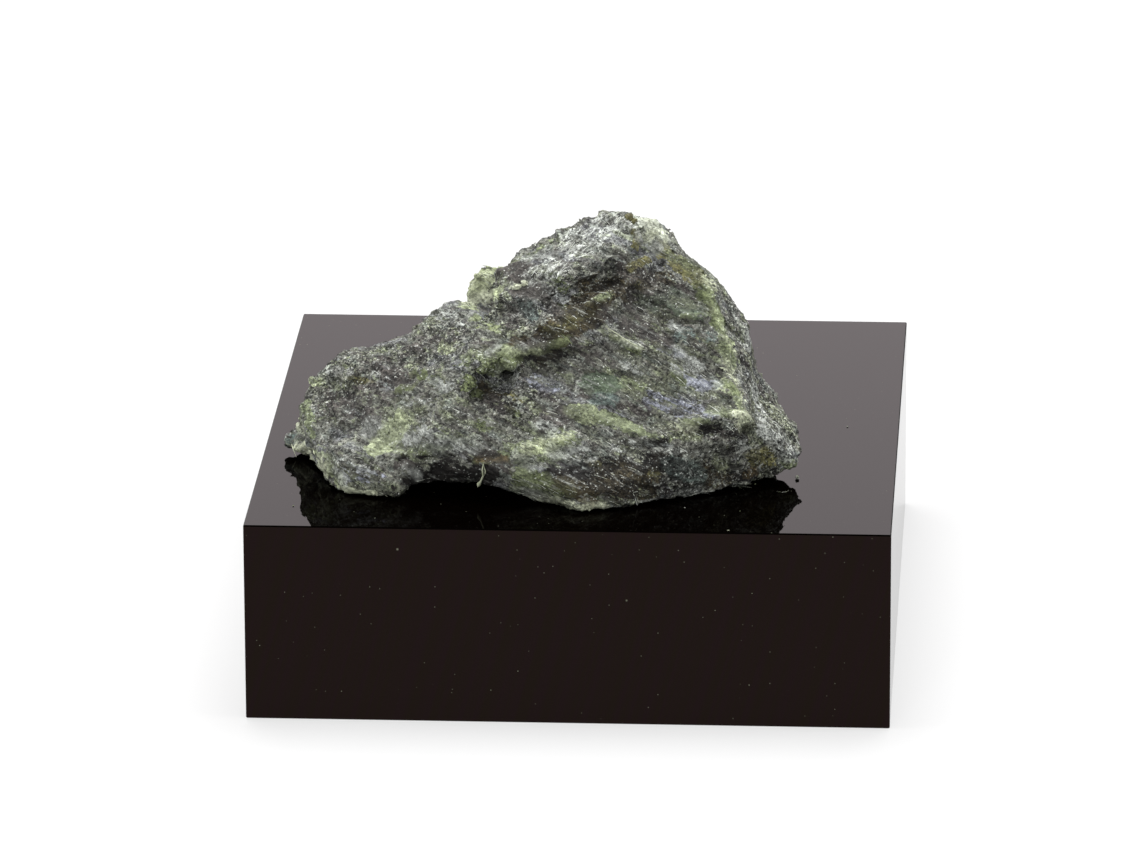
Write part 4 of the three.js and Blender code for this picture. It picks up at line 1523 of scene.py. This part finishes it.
@dataclass
class Stone:
    """The stone itself, refined from the part's solid.

    Heights, slopes, depths, the inset and the weld are in millimetres.
    """

    RAGGED = Noise(1.6, 4.0, 0.65)
    WARP = Noise(1.1, 4.0, 0.7)
    PLATES = Noise(0.9, 3.0, 0.6)
    CRACKS = Noise(1.1, 3.0, 0.6, (5.0, 2.0, 8.0))
    LUMPS = Noise(1.3, 2.0, 0.5, (2.0, 4.0, 1.0))
    GRIT = Noise(3.2, 5.0, 0.75)
    FACET_CELLS = 0.7
    CHIP_CELLS = 1.9
    CHIP_SHIFT = Vector((9.0, 3.0, 5.0))
    RELIEF_STRETCH = (0.5, 1.2)
    BEND = 0.9
    RISER = (0.35, 0.65)
    CRACK_RISE = (0.035, 0.0)
    # How far a face turns down before painted shade starts on it, and where that shade is full.
    UNDERSIDE_SHADE_RISE = (0.1, 0.6)

    finish: bpy.types.Material
    camera: CameraPlace
    plate_levels: float = 8.0
    plate_height: float = 0.04
    facet_slope: float = 0.13
    chip_slope: float = 0.16
    crack_depth: float = 0.08
    lump_height: float = 0.06
    grit_height: float = 0.08
    inset: float = 0.05
    refinements: int = 2
    rounding: float = 0.45
    weld: float = 0.001
    calm_face: float = 0.4
    calm_flake: float = 0.3
    # Painted light and shade: what stands out of its surroundings is painted lighter and what sinks
    # in darker, up to a share at a height in millimetres, and faces turned down are painted darker
    # by a share.
    surroundings: int = 24
    relief_shade_height: float = 0.08
    relief_shade_share: float = 0.22
    underside_shade_share: float = 0.35
    object: bpy.types.Object | None = None

    def __post_init__(self) -> None:
        """Finds the part's solid and looks at it as the photograph does."""
        self.solid = bpy.data.objects["stone"]
        self.sight = Sight(self.camera, self.solid)

    def build(self) -> bpy.types.Object:
        """Makes the stone.

        Returns:
            The stone's piece.
        """
        holder = placed("stone holder", self._refined())
        modifier = holder.modifiers.new("noises", "NODES")
        modifier.node_group = self._noise_tree()
        piece = plain_mesh(holder, "stone_surface")
        self._shape_and_paint(piece.data)
        keep_in_box(piece.data, self.solid)
        dress(piece.data, self.finish)
        piece.data.shade_smooth()
        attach(piece, "root")
        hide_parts("stone")
        self.object = piece
        return piece

    def _refined(self) -> bpy.types.Mesh:
        """Splits each triangle of the solid and rounds its facets off a little.

        Returns:
            The finer mesh, in the world's frame.
        """
        work = bmesh.new()
        work.from_mesh(self.solid.data)
        work.transform(self.solid.matrix_world)
        bmesh.ops.remove_doubles(work, verts=work.verts, dist=self.weld * MM)
        every_way = {f"use_axis_{axis}": True for axis in "xyz"}
        for _ in range(self.refinements):
            bmesh.ops.subdivide_edges(work, edges=work.edges, cuts=1, use_grid_fill=True)
            bmesh.ops.smooth_vert(work, verts=work.verts, factor=self.rounding, **every_way)
        bmesh.ops.triangulate(work, faces=work.faces)
        bmesh.ops.recalc_face_normals(work, faces=work.faces)
        mesh = mesh_of(work, "stone refined")
        mesh.shade_smooth()
        return mesh

    def _noise_tree(self) -> bpy.types.NodeTree:
        """Makes the tree that stores the noises of the relief and the markings.

        Returns:
            The tree.
        """
        graph, start, end = geometry_tree("stone noises")
        position = Triple(graph, graph.node("GeometryNodeInputPosition").outputs[0])
        place = position * (1 / MM)
        noises = {
            "broken": self._broken(graph, place),
            "medium": graph.noise(graph.layered(place, *STRETCH), MEDIUM) - 0.5,
            "small": graph.noise(place, SMALL) - 0.5,
            "ragged": graph.noise(place, self.RAGGED) - 0.5,
        }
        geometry = start.outputs[0]
        for name, value in noises.items():
            geometry = graph.store(geometry, name, value, "POINT")
        graph.fill(end, {0: geometry})
        return graph.tree

    def _broken(self, graph: Graph, place: Triple) -> Scalar:
        """Raises plates, chips, lumps and grit, and opens cracks along the streaks.

        Args:
            graph: the graph to build in.
            place: where, in millimetres.

        Returns:
            The height in millimetres.
        """
        layers = graph.layered(place, *self.RELIEF_STRETCH)
        bent = graph.bent(layers, graph.noise(place, self.WARP), self.BEND)
        plates = graph.noise(layers, self.PLATES) * self.plate_levels
        step = plates.floor()
        plate = step + (plates - step).ease(*self.RISER) - self.plate_levels / 2
        crack = (graph.noise(layers, self.CRACKS) - 0.5).size().ease(*self.CRACK_RISE)
        lump = graph.noise(place, self.LUMPS) - 0.5
        grit = graph.noise(place, self.GRIT) - 0.5
        chips = graph.facets(bent + self.CHIP_SHIFT, self.CHIP_CELLS)
        return (
            plate * self.plate_height
            + graph.facets(bent, self.FACET_CELLS) * self.facet_slope
            + chips * self.chip_slope
            - crack * self.crack_depth
            + lump * self.lump_height
            + grit * self.grit_height
        )

    def _shape_and_paint(self, mesh: bpy.types.Mesh) -> None:
        """Moves the vertices to the relief, and gives them their markings and their painted light
        and shade.

        Args:
            mesh: the refined mesh with its noises.
        """
        broken, medium, small, ragged = (
            read_numbers(mesh, name) for name in ("broken", "medium", "small", "ragged")
        )
        points = read_vectors(mesh.vertices, "co") / MM
        normals = read_vectors(mesh.vertex_normals, "vector")
        flat = pressed(points)
        zones = {
            name: np.max([band.cover(flat, ragged * ZONE_RAG, ZONE_RIM) for band in bands], axis=0)
            for name, bands in ZONES.items()
        }
        calm = self.calm_face * zones["face"] + self.calm_flake * zones["flake"]
        height = broken * (1 - calm)
        for ridge in self.sight.bands(RIDGES):
            height += ridge.cover(flat, ragged * RIDGE_RAG, RIDGE_RIM) * ridge.height
        moved = points + normals * (height - self.inset)[:, None]
        mesh.vertices.foreach_set("co", (moved * MM).ravel())
        mesh.update()
        # The light attribute is painted light and shade, which the finish multiplies into the
        # colour.
        write_numbers(mesh, "light", self._light(mesh, moved))
        self._paint(mesh, flat, medium * PATCH_RAG[0] + small * PATCH_RAG[1])
        for name, share in zones.items():
            write_numbers(mesh, name, share)

    def _paint(self, mesh: bpy.types.Mesh, flat: np.ndarray, ragged: np.ndarray) -> None:
        """Stores the patches' colour, painted light and shade among it, on each vertex, with how
        much they cover as its alpha.

        Args:
            mesh: the broken mesh.
            flat: its vertices before the relief, pressed flat through the layers.
            ragged: the noise of the patches' rims.
        """
        colour_light_and_shade = np.zeros((len(flat), 3))
        cover = np.zeros(len(flat))
        for patch in self.sight.bands(PATCHES):
            share = patch.cover(flat, ragged, PATCH_RIM) * patch.strength
            hue = np.array(patch.hue.value[:3])
            colour_light_and_shade = colour_light_and_shade * (1 - share)[:, None] + np.outer(share, hue)
            cover = cover * (1 - share) + share
        colour_light_and_shade /= np.maximum(cover, 1e-4)[:, None]
        attribute = mesh.attributes.new("colour_light_and_shade", "FLOAT_COLOR", "POINT")
        attribute.data.foreach_set("color", np.column_stack((colour_light_and_shade, cover)).ravel())

    def _light(self, mesh: bpy.types.Mesh, points: np.ndarray) -> np.ndarray:
        """Works out painted light and shade: the colour is lightened on what stands out, and
        darkened in pits and on faces turned down, where shade falls.

        Args:
            mesh: the broken mesh.
            points: its vertices, in millimetres.

        Returns:
            A factor on the colour of each vertex.
        """
        normals = read_vectors(mesh.vertex_normals, "vector")
        height = standing_out(mesh, points, normals, self.surroundings)
        tone = 1 + np.clip(height / self.relief_shade_height, -1, 1) * self.relief_shade_share
        under = eased(-normals[:, 2], *self.UNDERSIDE_SHADE_RISE)
        return tone * (1 - under * self.underside_shade_share)


class Form(Enum):
    """What is scattered: a pointed grain, or a bent fibre."""

    GRAIN = 1
    FIBRE = 2


@dataclass(frozen=True)
class ScatterPlan:
    """Sizes in millimetres, number, and lie of what is scattered on the stone."""

    name: str
    form: Form
    size: Point
    per_square_mm: float
    seed: int
    along: Vector | None = None
    spread: float = math.pi
    tilt: float = 0.5
    zone: str = "granular"
    elsewhere: float = 0.0
    tones: tuple[float, float] = (-0.3, 0.25)


@dataclass
class Scatter:
    """Small loose forms that stand out of the stone's surface."""

    TONE_SEED = 5
    TURN_SEED = 7
    SCALE_SEED = 11
    FIBRE_STEPS = 5
    FIBRE_SIDES = 3

    stone: Stone
    plan: ScatterPlan
    finish: bpy.types.Material
    least_scale: Point = (0.35, 0.45, 0.4)
    most_scale: Point = (1.3, 1.3, 1.3)
    flake_thinning: float = 0.85
    graph: Graph = field(init=False)

    def build(self) -> bpy.types.Object:
        """Makes the forms.

        Returns:
            The piece.
        """
        holder = placed("scatter holder", self.stone.object.data)
        modifier = holder.modifiers.new("scatter", "NODES")
        modifier.node_group, density, seed = self._tree()
        modifier[density] = self.plan.per_square_mm / (MM * MM)
        modifier[seed] = self.plan.seed
        piece = plain_mesh(holder, self.plan.name)
        keep_in_box(piece.data, self.stone.solid)
        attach(piece, "root")
        return piece

    def _tree(self) -> tuple[bpy.types.NodeTree, str, str]:
        """Makes the tree that scatters the forms.

        Returns:
            The tree, and the identifiers of its density and seed inputs.
        """
        self.graph, start, end = geometry_tree(self.plan.name)
        graph = self.graph
        density = named_input(graph, "Density", 1.0, "NodeSocketFloat")
        seed = named_input(graph, "Seed", 0, "NodeSocketInt")
        points = {
            "Mesh": start.outputs[0],
            "Density": self._thinned(Scalar(graph, start.outputs["Density"])),
            "Seed": start.outputs["Seed"],
        }
        scattered = graph.node("GeometryNodeDistributePointsOnFaces", None, points)
        instances = {
            "Points": scattered.outputs["Points"],
            "Instance": self._form(),
            "Rotation": self._lie(scattered.outputs["Rotation"]),
            "Scale": self._random(self.least_scale, self.most_scale, self.SCALE_SEED),
        }
        forms = graph.first("GeometryNodeInstanceOnPoints", None, instances)
        low, high = self.plan.tones
        drawn = {2: low, 3: high, "Seed": self.TONE_SEED}
        tone = graph.node("FunctionNodeRandomValue", {"data_type": "FLOAT"}, drawn).outputs[1]
        toned = graph.store(forms, "tone", tone, "INSTANCE")
        real = graph.first("GeometryNodeRealizeInstances", None, {0: toned})
        finish = {"Geometry": real, "Material": self.finish}
        graph.fill(end, {0: graph.first("GeometryNodeSetMaterial", None, finish)})
        return graph.tree, density, seed

    def _thinned(self, whole: Scalar) -> Scalar:
        """Thins the forms outside the plan's zone and on the flake.

        Args:
            whole: the density inside the zone.

        Returns:
            The density.
        """
        inside, flake = (self.graph.stored(name) for name in (self.plan.zone, "flake"))
        share = self.plan.elsewhere + inside * (1 - self.plan.elsewhere)
        return whole * share * (1.0 - flake * self.flake_thinning)

    def _lie(self, rotation: bpy.types.NodeSocket) -> bpy.types.NodeSocket:
        """Turns the forms in the surface.

        Args:
            rotation: the socket of the rotation that lays them flat.

        Returns:
            The rotation's socket.
        """
        if self.plan.along is not None:
            lengthwise = {"axis": "X", "pivot_axis": "Z"}
            aim = {"Rotation": rotation, "Vector": self.plan.along}
            rotation = self.graph.first("FunctionNodeAlignRotationToVector", lengthwise, aim)
        tilt, spread = self.plan.tilt, self.plan.spread
        turn = self._random((-tilt, -tilt, -spread), (tilt, tilt, spread), self.TURN_SEED)
        turned = {0: rotation, 1: turn}
        return self.graph.first("FunctionNodeRotateRotation", {"rotation_space": "LOCAL"}, turned)

    def _random(self, low: Point, high: Point, seed: int) -> bpy.types.NodeSocket:
        """Draws a random vector for each form, from low to high."""
        sockets = {0: low, 1: high, "Seed": seed}
        return self.graph.first("FunctionNodeRandomValue", {"data_type": "FLOAT_VECTOR"}, sockets)

    def _form(self) -> bpy.types.NodeSocket:
        """Makes one form: a double pyramid, or a fibre that bows up and a little aside.

        Returns:
            Its geometry's socket.
        """
        length, width, height = (size * MM for size in self.plan.size)
        make = self.graph.first
        if self.plan.form is Form.GRAIN:
            ball = {"Segments": 4, "Rings": 2, "Radius": 0.5}
            shape = {
                "Geometry": make("GeometryNodeMeshUVSphere", None, ball),
                "Scale": (length, width, height),
            }
            return make("GeometryNodeTransform", None, shape)
        bow = {
            "Resolution": self.FIBRE_STEPS,
            "Start": (-length / 2, 0.0, 0.0),
            "Middle": (0.0, length / 14, height),
            "End": (length / 2, 0.0, height / 4),
        }
        section = {"Resolution": self.FIBRE_SIDES, "Radius": width / 2}
        tube = {
            "Curve": make("GeometryNodeCurveQuadraticBezier", None, bow),
            "Profile Curve": make("GeometryNodeCurvePrimitiveCircle", None, section),
            "Fill Caps": True,
        }
        return make("GeometryNodeCurveToMesh", None, tube)


@dataclass(frozen=True)
class Thread:
    """A single fibre through some points, thin at its ends, with a bulb near the last."""

    points: tuple[Point, ...]
    radius: float
    bulb: float = 0.0


@dataclass(frozen=True)
class Lump:
    """A small rough lump."""

    name: str
    centre: Point
    size: Point


@dataclass
class Single:
    """A piece made of forms that are placed one by one."""

    name: str
    forms: tuple[Thread | Lump, ...]
    slot: str
    finish: bpy.types.Material

    def build(self) -> bpy.types.Object:
        """Makes the forms.

        Returns:
            The piece.
        """
        work = bmesh.new()
        for form in self.forms:
            self._add(work, form)
        piece = placed(self.name, mesh_of(work, self.name))
        dress(piece.data, self.finish)
        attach(piece, "root")
        return piece

    def _add(self, work: bmesh.types.BMesh, form: Thread | Lump) -> None:
        """Adds one form to the mesh."""
        raise NotImplementedError


@dataclass
class Threads(Single):
    """The few fibres that stand alone."""

    sides: int = 6
    end_share: float = 0.35

    def _add(self, work: bmesh.types.BMesh, form: Thread) -> None:
        """Adds one tube.

        Args:
            work: the mesh to add it to.
            form: the fibre.
        """
        points = [Vector(point) for point in form.points]
        last = len(points) - 1
        rings = []
        for index, point in enumerate(points):
            run = (points[min(index + 1, last)] - points[max(index - 1, 0)]).normalized()
            side = run.orthogonal().normalized()
            radius = form.radius * (self.end_share if index in (0, last) else 1.0)
            if index == last - 1 and form.bulb:
                radius = form.bulb
            rings.append(self._ring(work, point, run, side * radius))
        faces = [work.faces.new(rings[0][::-1]), work.faces.new(rings[-1])]
        for ring, following in zip(rings, rings[1:]):
            for k in range(self.sides):
                next_k = (k + 1) % self.sides
                corners = (ring[k], ring[next_k], following[next_k], following[k])
                faces.append(work.faces.new(corners))
        bmesh.ops.recalc_face_normals(work, faces=faces)
        for face in faces:
            face.smooth = True

    def _ring(
        self, work: bmesh.types.BMesh, point: Vector, run: Vector, side: Vector
    ) -> list[bmesh.types.BMVert]:
        """Adds one ring of corners.

        Args:
            work: the mesh to add it to.
            point: the ring's middle, in millimetres.
            run: the way the fibre runs.
            side: the first corner's offset.

        Returns:
            The corners.
        """
        step = 2 * math.pi / self.sides
        return [
            work.verts.new((point + Matrix.Rotation(step * k, 3, run) @ side) * MM)
            for k in range(self.sides)
        ]


@dataclass
class Lumps(Single):
    """Lumps and crumbs that stand alone."""

    detail: int = 3
    rough_share: float = 0.6
    grit_share: float = 0.25

    def _add(self, work: bmesh.types.BMesh, form: Lump) -> None:
        """Adds one lump.

        Args:
            work: the mesh to add it to.
            form: the lump.
        """
        made = bmesh.ops.create_icosphere(work, subdivisions=self.detail, radius=0.5)
        centre = Vector(form.centre)
        for vertex in made["verts"]:
            rough = noise.noise(vertex.co * 3.0 + centre * 5.0) * self.rough_share
            grit = noise.noise(vertex.co * 9.0 + centre * 3.0) * self.grit_share
            shape = vertex.co * (1.0 + rough + grit)
            vertex.co = (centre + shape * Vector(form.size)) * MM
        log.debug("%s: %d corners", form.name, len(made["verts"]))


@dataclass
class Block:
    """The black block, whose solid is the part's own."""

    finish: bpy.types.Material

    def build(self) -> bpy.types.Object:
        """Dresses the part's own block.

        Returns:
            The block.
        """
        block = bpy.data.objects["display_block"]
        dress(block.data, self.finish)
        return block


# Studio


def glowing(name: str, light: Colour, strength: float, others: dict) -> bpy.types.Material:
    """Makes a material that glows.

    Args:
        name: the material's name.
        light: the colour of its light.
        strength: how bright it is.
        others: its other inputs by name.

    Returns:
        The material.
    """
    material, graph, shader = new_material(name)
    graph.fill(shader, {"Emission Color": light, "Emission Strength": strength} | others)
    return material


def stage_sheet(
    name: str, middle: Vector, across: Vector, along: Vector, finish: bpy.types.Material
) -> None:
    """Adds one flat sheet of the studio.

    Args:
        name: its name.
        middle: where its middle is, in millimetres.
        across: half of its width.
        along: half of its depth or height.
        finish: its material.
    """
    signs = ((-1, -1), (1, -1), (1, 1), (-1, 1))
    corners = [(middle + across * side + along * rise) * MM for side, rise in signs]
    mesh = bpy.data.meshes.new(name)
    mesh.from_pydata(corners, [], [(0, 1, 2, 3)])
    mesh.materials.append(finish)
    placed(name, mesh)


@dataclass(frozen=True)
class Softbox:
    """A square light aimed at the stone: place and side in millimetres, power in watts."""

    name: str
    place: Point
    side: float
    power: float


@dataclass
class Studio:
    """A white floor, a bright card behind, soft white light, and the camera."""

    place: CameraPlace
    floor_half: float = 600.0
    floor_colour: Colour = (0.15, 0.15, 0.15, 1.0)
    floor_roughness: float = 0.9
    floor_glow: float = 0.6
    room_strength: float = 0.7
    card_place: Point = (-90.0, 1500.0, 505.0)
    card_half: tuple[float, float] = (450.0, 150.0)
    card_colour: Colour = (1.0, 0.905, 0.925, 1.0)
    card_glow: float = 5.7
    aim: Point = (0.0, -6.0, 14.0)
    lights: tuple[Softbox, ...] = (
        Softbox("key light", (0.0, 80.0, 420.0), 260.0, 3.0),
        Softbox("front light", (-60.0, -420.0, 260.0), 200.0, 0.8),
        Softbox("left light", (-380.0, -60.0, 160.0), 200.0, 0.9),
        Softbox("right light", (380.0, -20.0, 200.0), 200.0, 1.0),
    )

    def build(self) -> None:
        """Makes the floor, the card, the lights and the camera."""
        self._floor()
        self._card()
        self._room()
        for softbox in self.lights:
            self._softbox(softbox)
        self._camera()
        settings = bpy.context.scene.view_settings
        settings.view_transform = "Standard"
        settings.look = "None"
        log.info("studio: floor, card, room, %d lights and a camera", len(self.lights))

    def _floor(self) -> None:
        """Makes the white floor, which glows a little like paper lit from all sides."""
        base = {"Base Color": self.floor_colour, "Roughness": self.floor_roughness}
        paper = glowing("white floor", WHITE_LIGHT, self.floor_glow, base)
        width, depth = Vector((self.floor_half, 0.0, 0.0)), Vector((0.0, self.floor_half, 0.0))
        stage_sheet("floor", Vector(), width, depth, paper)

    def _card(self) -> None:
        """Stands a bright card behind the block, which its polished top mirrors."""
        base = {"Base Color": NO_LIGHT, "Specular IOR Level": 0.0}
        bright = glowing("bright card", self.card_colour, self.card_glow, base)
        half_width, half_height = self.card_half
        width, height = Vector((half_width, 0.0, 0.0)), Vector((0.0, 0.0, half_height))
        stage_sheet("card", Vector(self.card_place), width, height, bright)

    def _room(self) -> None:
        """Makes the plain white surroundings."""
        world = bpy.data.worlds.new("white room")
        world.use_nodes = True
        background = world.node_tree.nodes["Background"]
        background.inputs["Color"].default_value = WHITE_LIGHT
        background.inputs["Strength"].default_value = self.room_strength
        bpy.context.scene.world = world

    def _softbox(self, softbox: Softbox) -> None:
        """Adds a light.

        Args:
            softbox: the light.
        """
        light = bpy.data.lights.new(softbox.name, "AREA")
        light.size = softbox.side * MM
        light.energy = softbox.power
        lamp = placed(softbox.name, light)
        lamp.location = Vector(softbox.place) * MM
        aim = Vector(self.aim) - Vector(softbox.place)
        lamp.rotation_mode = "QUATERNION"
        lamp.rotation_quaternion = aim.to_track_quat("-Z", "Y")

    def _camera(self) -> None:
        """Makes the camera."""
        place = self.place
        azimuth, elevation, roll = map(math.radians, (place.azimuth, place.elevation, place.roll))
        level = math.cos(elevation)
        back = Vector((math.sin(azimuth) * level, -math.cos(azimuth) * level, math.sin(elevation)))
        right = Vector((0.0, 0.0, 1.0)).cross(back).normalized()
        up = back.cross(right)
        side = right * math.cos(roll) + up * math.sin(roll)
        top = up * math.cos(roll) - right * math.sin(roll)
        data = bpy.data.cameras.new("camera")
        data.sensor_width = place.sensor
        data.lens = place.lens
        camera = placed("camera", data)
        centre = Matrix.Translation((Vector(place.target) + back * place.distance) * MM)
        camera.matrix_world = centre @ Matrix((side, top, back)).transposed().to_4x4()
        bpy.context.scene.camera = camera


# What stands on the stone

GRAINS = (
    ScatterPlan("stone_grains", Form.GRAIN, (0.18, 0.14, 0.07), 28.0, 3, tilt=0.3, elsewhere=0.3),
    ScatterPlan(
        "stone_splinters", Form.GRAIN, (0.7, 0.1, 0.07), 7.0, 17, along=STREAK, spread=0.35,
        tilt=0.12, zone="face", elsewhere=0.3, tones=(-0.15, 0.25),
    ),
    ScatterPlan(
        "stone_flakes", Form.GRAIN, (0.4, 0.2, 0.05), 14.0, 23, tilt=0.2, zone="edge",
        elsewhere=0.04, tones=(-0.1, 0.3),
    ),
)

FIBRES = (
    ScatterPlan(
        "coat_fibres", Form.FIBRE, (0.5, 0.024, 0.02), 9.0, 31, along=COAT_STREAK, spread=0.5,
        tilt=0.06, zone="coat",
    ),
    ScatterPlan(
        "face_fibres", Form.FIBRE, (0.55, 0.022, 0.01), 1.2, 37, along=STREAK, spread=0.3,
        tilt=0.03, zone="face", elsewhere=0.15,
    ),
)

HANGING = (
    Thread(
        (
            (-4.3, -13.3, 12.05),
            (-4.36, -13.2, 11.7),
            (-4.33, -13.1, 11.35),
            (-4.45, -13.0, 11.05),
            (-4.56, -12.95, 10.85),
            (-4.62, -12.9, 10.68),
        ),
        0.045,
        0.11,
    ),
    Thread(((-4.3, -13.2, 11.95), (-4.2, -13.3, 11.65), (-4.26, -13.2, 11.4)), 0.03),
    Thread(((1.5, -10.1, 18.2), (2.2, -10.25, 17.8), (2.8, -10.4, 17.4)), 0.025),
    Thread(((2.0, -10.15, 17.9), (2.8, -10.4, 17.45), (3.5, -10.5, 17.1)), 0.03),
)

DUST_FIBRES = (
    Thread(((7.7, -10.2, 10.04), (8.1, -10.35, 10.06), (8.4, -10.75, 10.04)), 0.013),
    Thread(((8.05, -10.3, 10.04), (8.4, -10.3, 10.05), (8.75, -10.4, 10.04)), 0.01),
    Thread(
        (
            (10.0, -10.85, 10.03),
            (10.25, -11.05, 10.04),
            (10.5, -10.95, 10.04),
            (10.6, -10.7, 10.03),
        ),
        0.012,
    ),
)

PALE_LUMPS = (
    Lump("pale lump", (-2.9, -8.75, 19.75), (0.42, 0.4, 0.26)),
    Lump("pale lump beside it", (-2.55, -8.65, 19.9), (0.36, 0.36, 0.28)),
    Lump("pale crumb", (-3.15, -8.75, 19.68), (0.24, 0.3, 0.16)),
)

DARK_LUMPS = (
    Lump("nub", (2.5, -6.25, 22.62), (0.42, 0.36, 0.44)),
    Lump("nub's foot", (2.75, -6.3, 22.45), (0.36, 0.3, 0.3)),
)

CRUMBS = (
    Lump("crumb by the heel", (10.94, -8.84, 10.09), (0.2, 0.17, 0.16)),
    Lump("crumb in front", (5.6, -13.6, 10.03), (0.08, 0.07, 0.05)),
    Lump("crumb right", (13.2, -0.5, 10.03), (0.08, 0.08, 0.05)),
    Lump("crumb left", (-13.6, -14.2, 10.03), (0.07, 0.06, 0.05)),
    Lump("crumb under the heel", (8.9, -9.8, 10.03), (0.08, 0.07, 0.05)),
    Lump("crumb under the wing", (-9.45, -15.88, 10.03), (0.05, 0.05, 0.04)),
    Lump("crumb at the rear", (8.32, -13.98, 10.03), (0.04, 0.05, 0.04)),
)


def report(piece: bpy.types.Object) -> None:
    """Logs a piece's name and how many faces it has."""
    log.info("%s: %d faces", piece.name, len(piece.data.polygons))


def main() -> None:
    """Builds everything in order, and reports each piece."""
    logging.basicConfig(level=logging.INFO, format="%(name)s %(message)s")
    camera = CameraPlace()
    stone = Stone(StoneFinish("stone").build(), camera)
    report(stone.build())
    # The loose grains get fewer painted glints.
    loose = StoneFinish("stone grains", sparkle=0.06).build()
    for plan in GRAINS:
        report(Scatter(stone, plan, loose).build())
    white = ThreadFinish("white fibre", Hue.WHITE, Hue.PALE).build()
    for plan in FIBRES:
        report(Scatter(stone, plan, white).build())
    fibre = ThreadFinish("pale fibre", Hue.PALE, Hue.LIME).build()
    pale = ThreadFinish("pale lump", Hue.PALE, Hue.GREY).build()
    umber = ThreadFinish("umber", Hue.OLIVE, Hue.UMBER).build()
    grey = ThreadFinish("crumb", Hue.GREY, Hue.MOSS).build()
    for piece in (
        Threads("single_fibres", HANGING, "stone", fibre),
        Lumps("pale_lumps", PALE_LUMPS, "stone", pale),
        Lumps("nub", DARK_LUMPS, "stone", umber),
        Lumps("crumbs", CRUMBS, "display_block", grey),
        Threads("dust_fibres", DUST_FIBRES, "display_block", grey),
        Block(AcrylicFinish().build()),
    ):
        report(piece.build())
    Studio(camera).build()


if __name__ == "__main__":
    main()
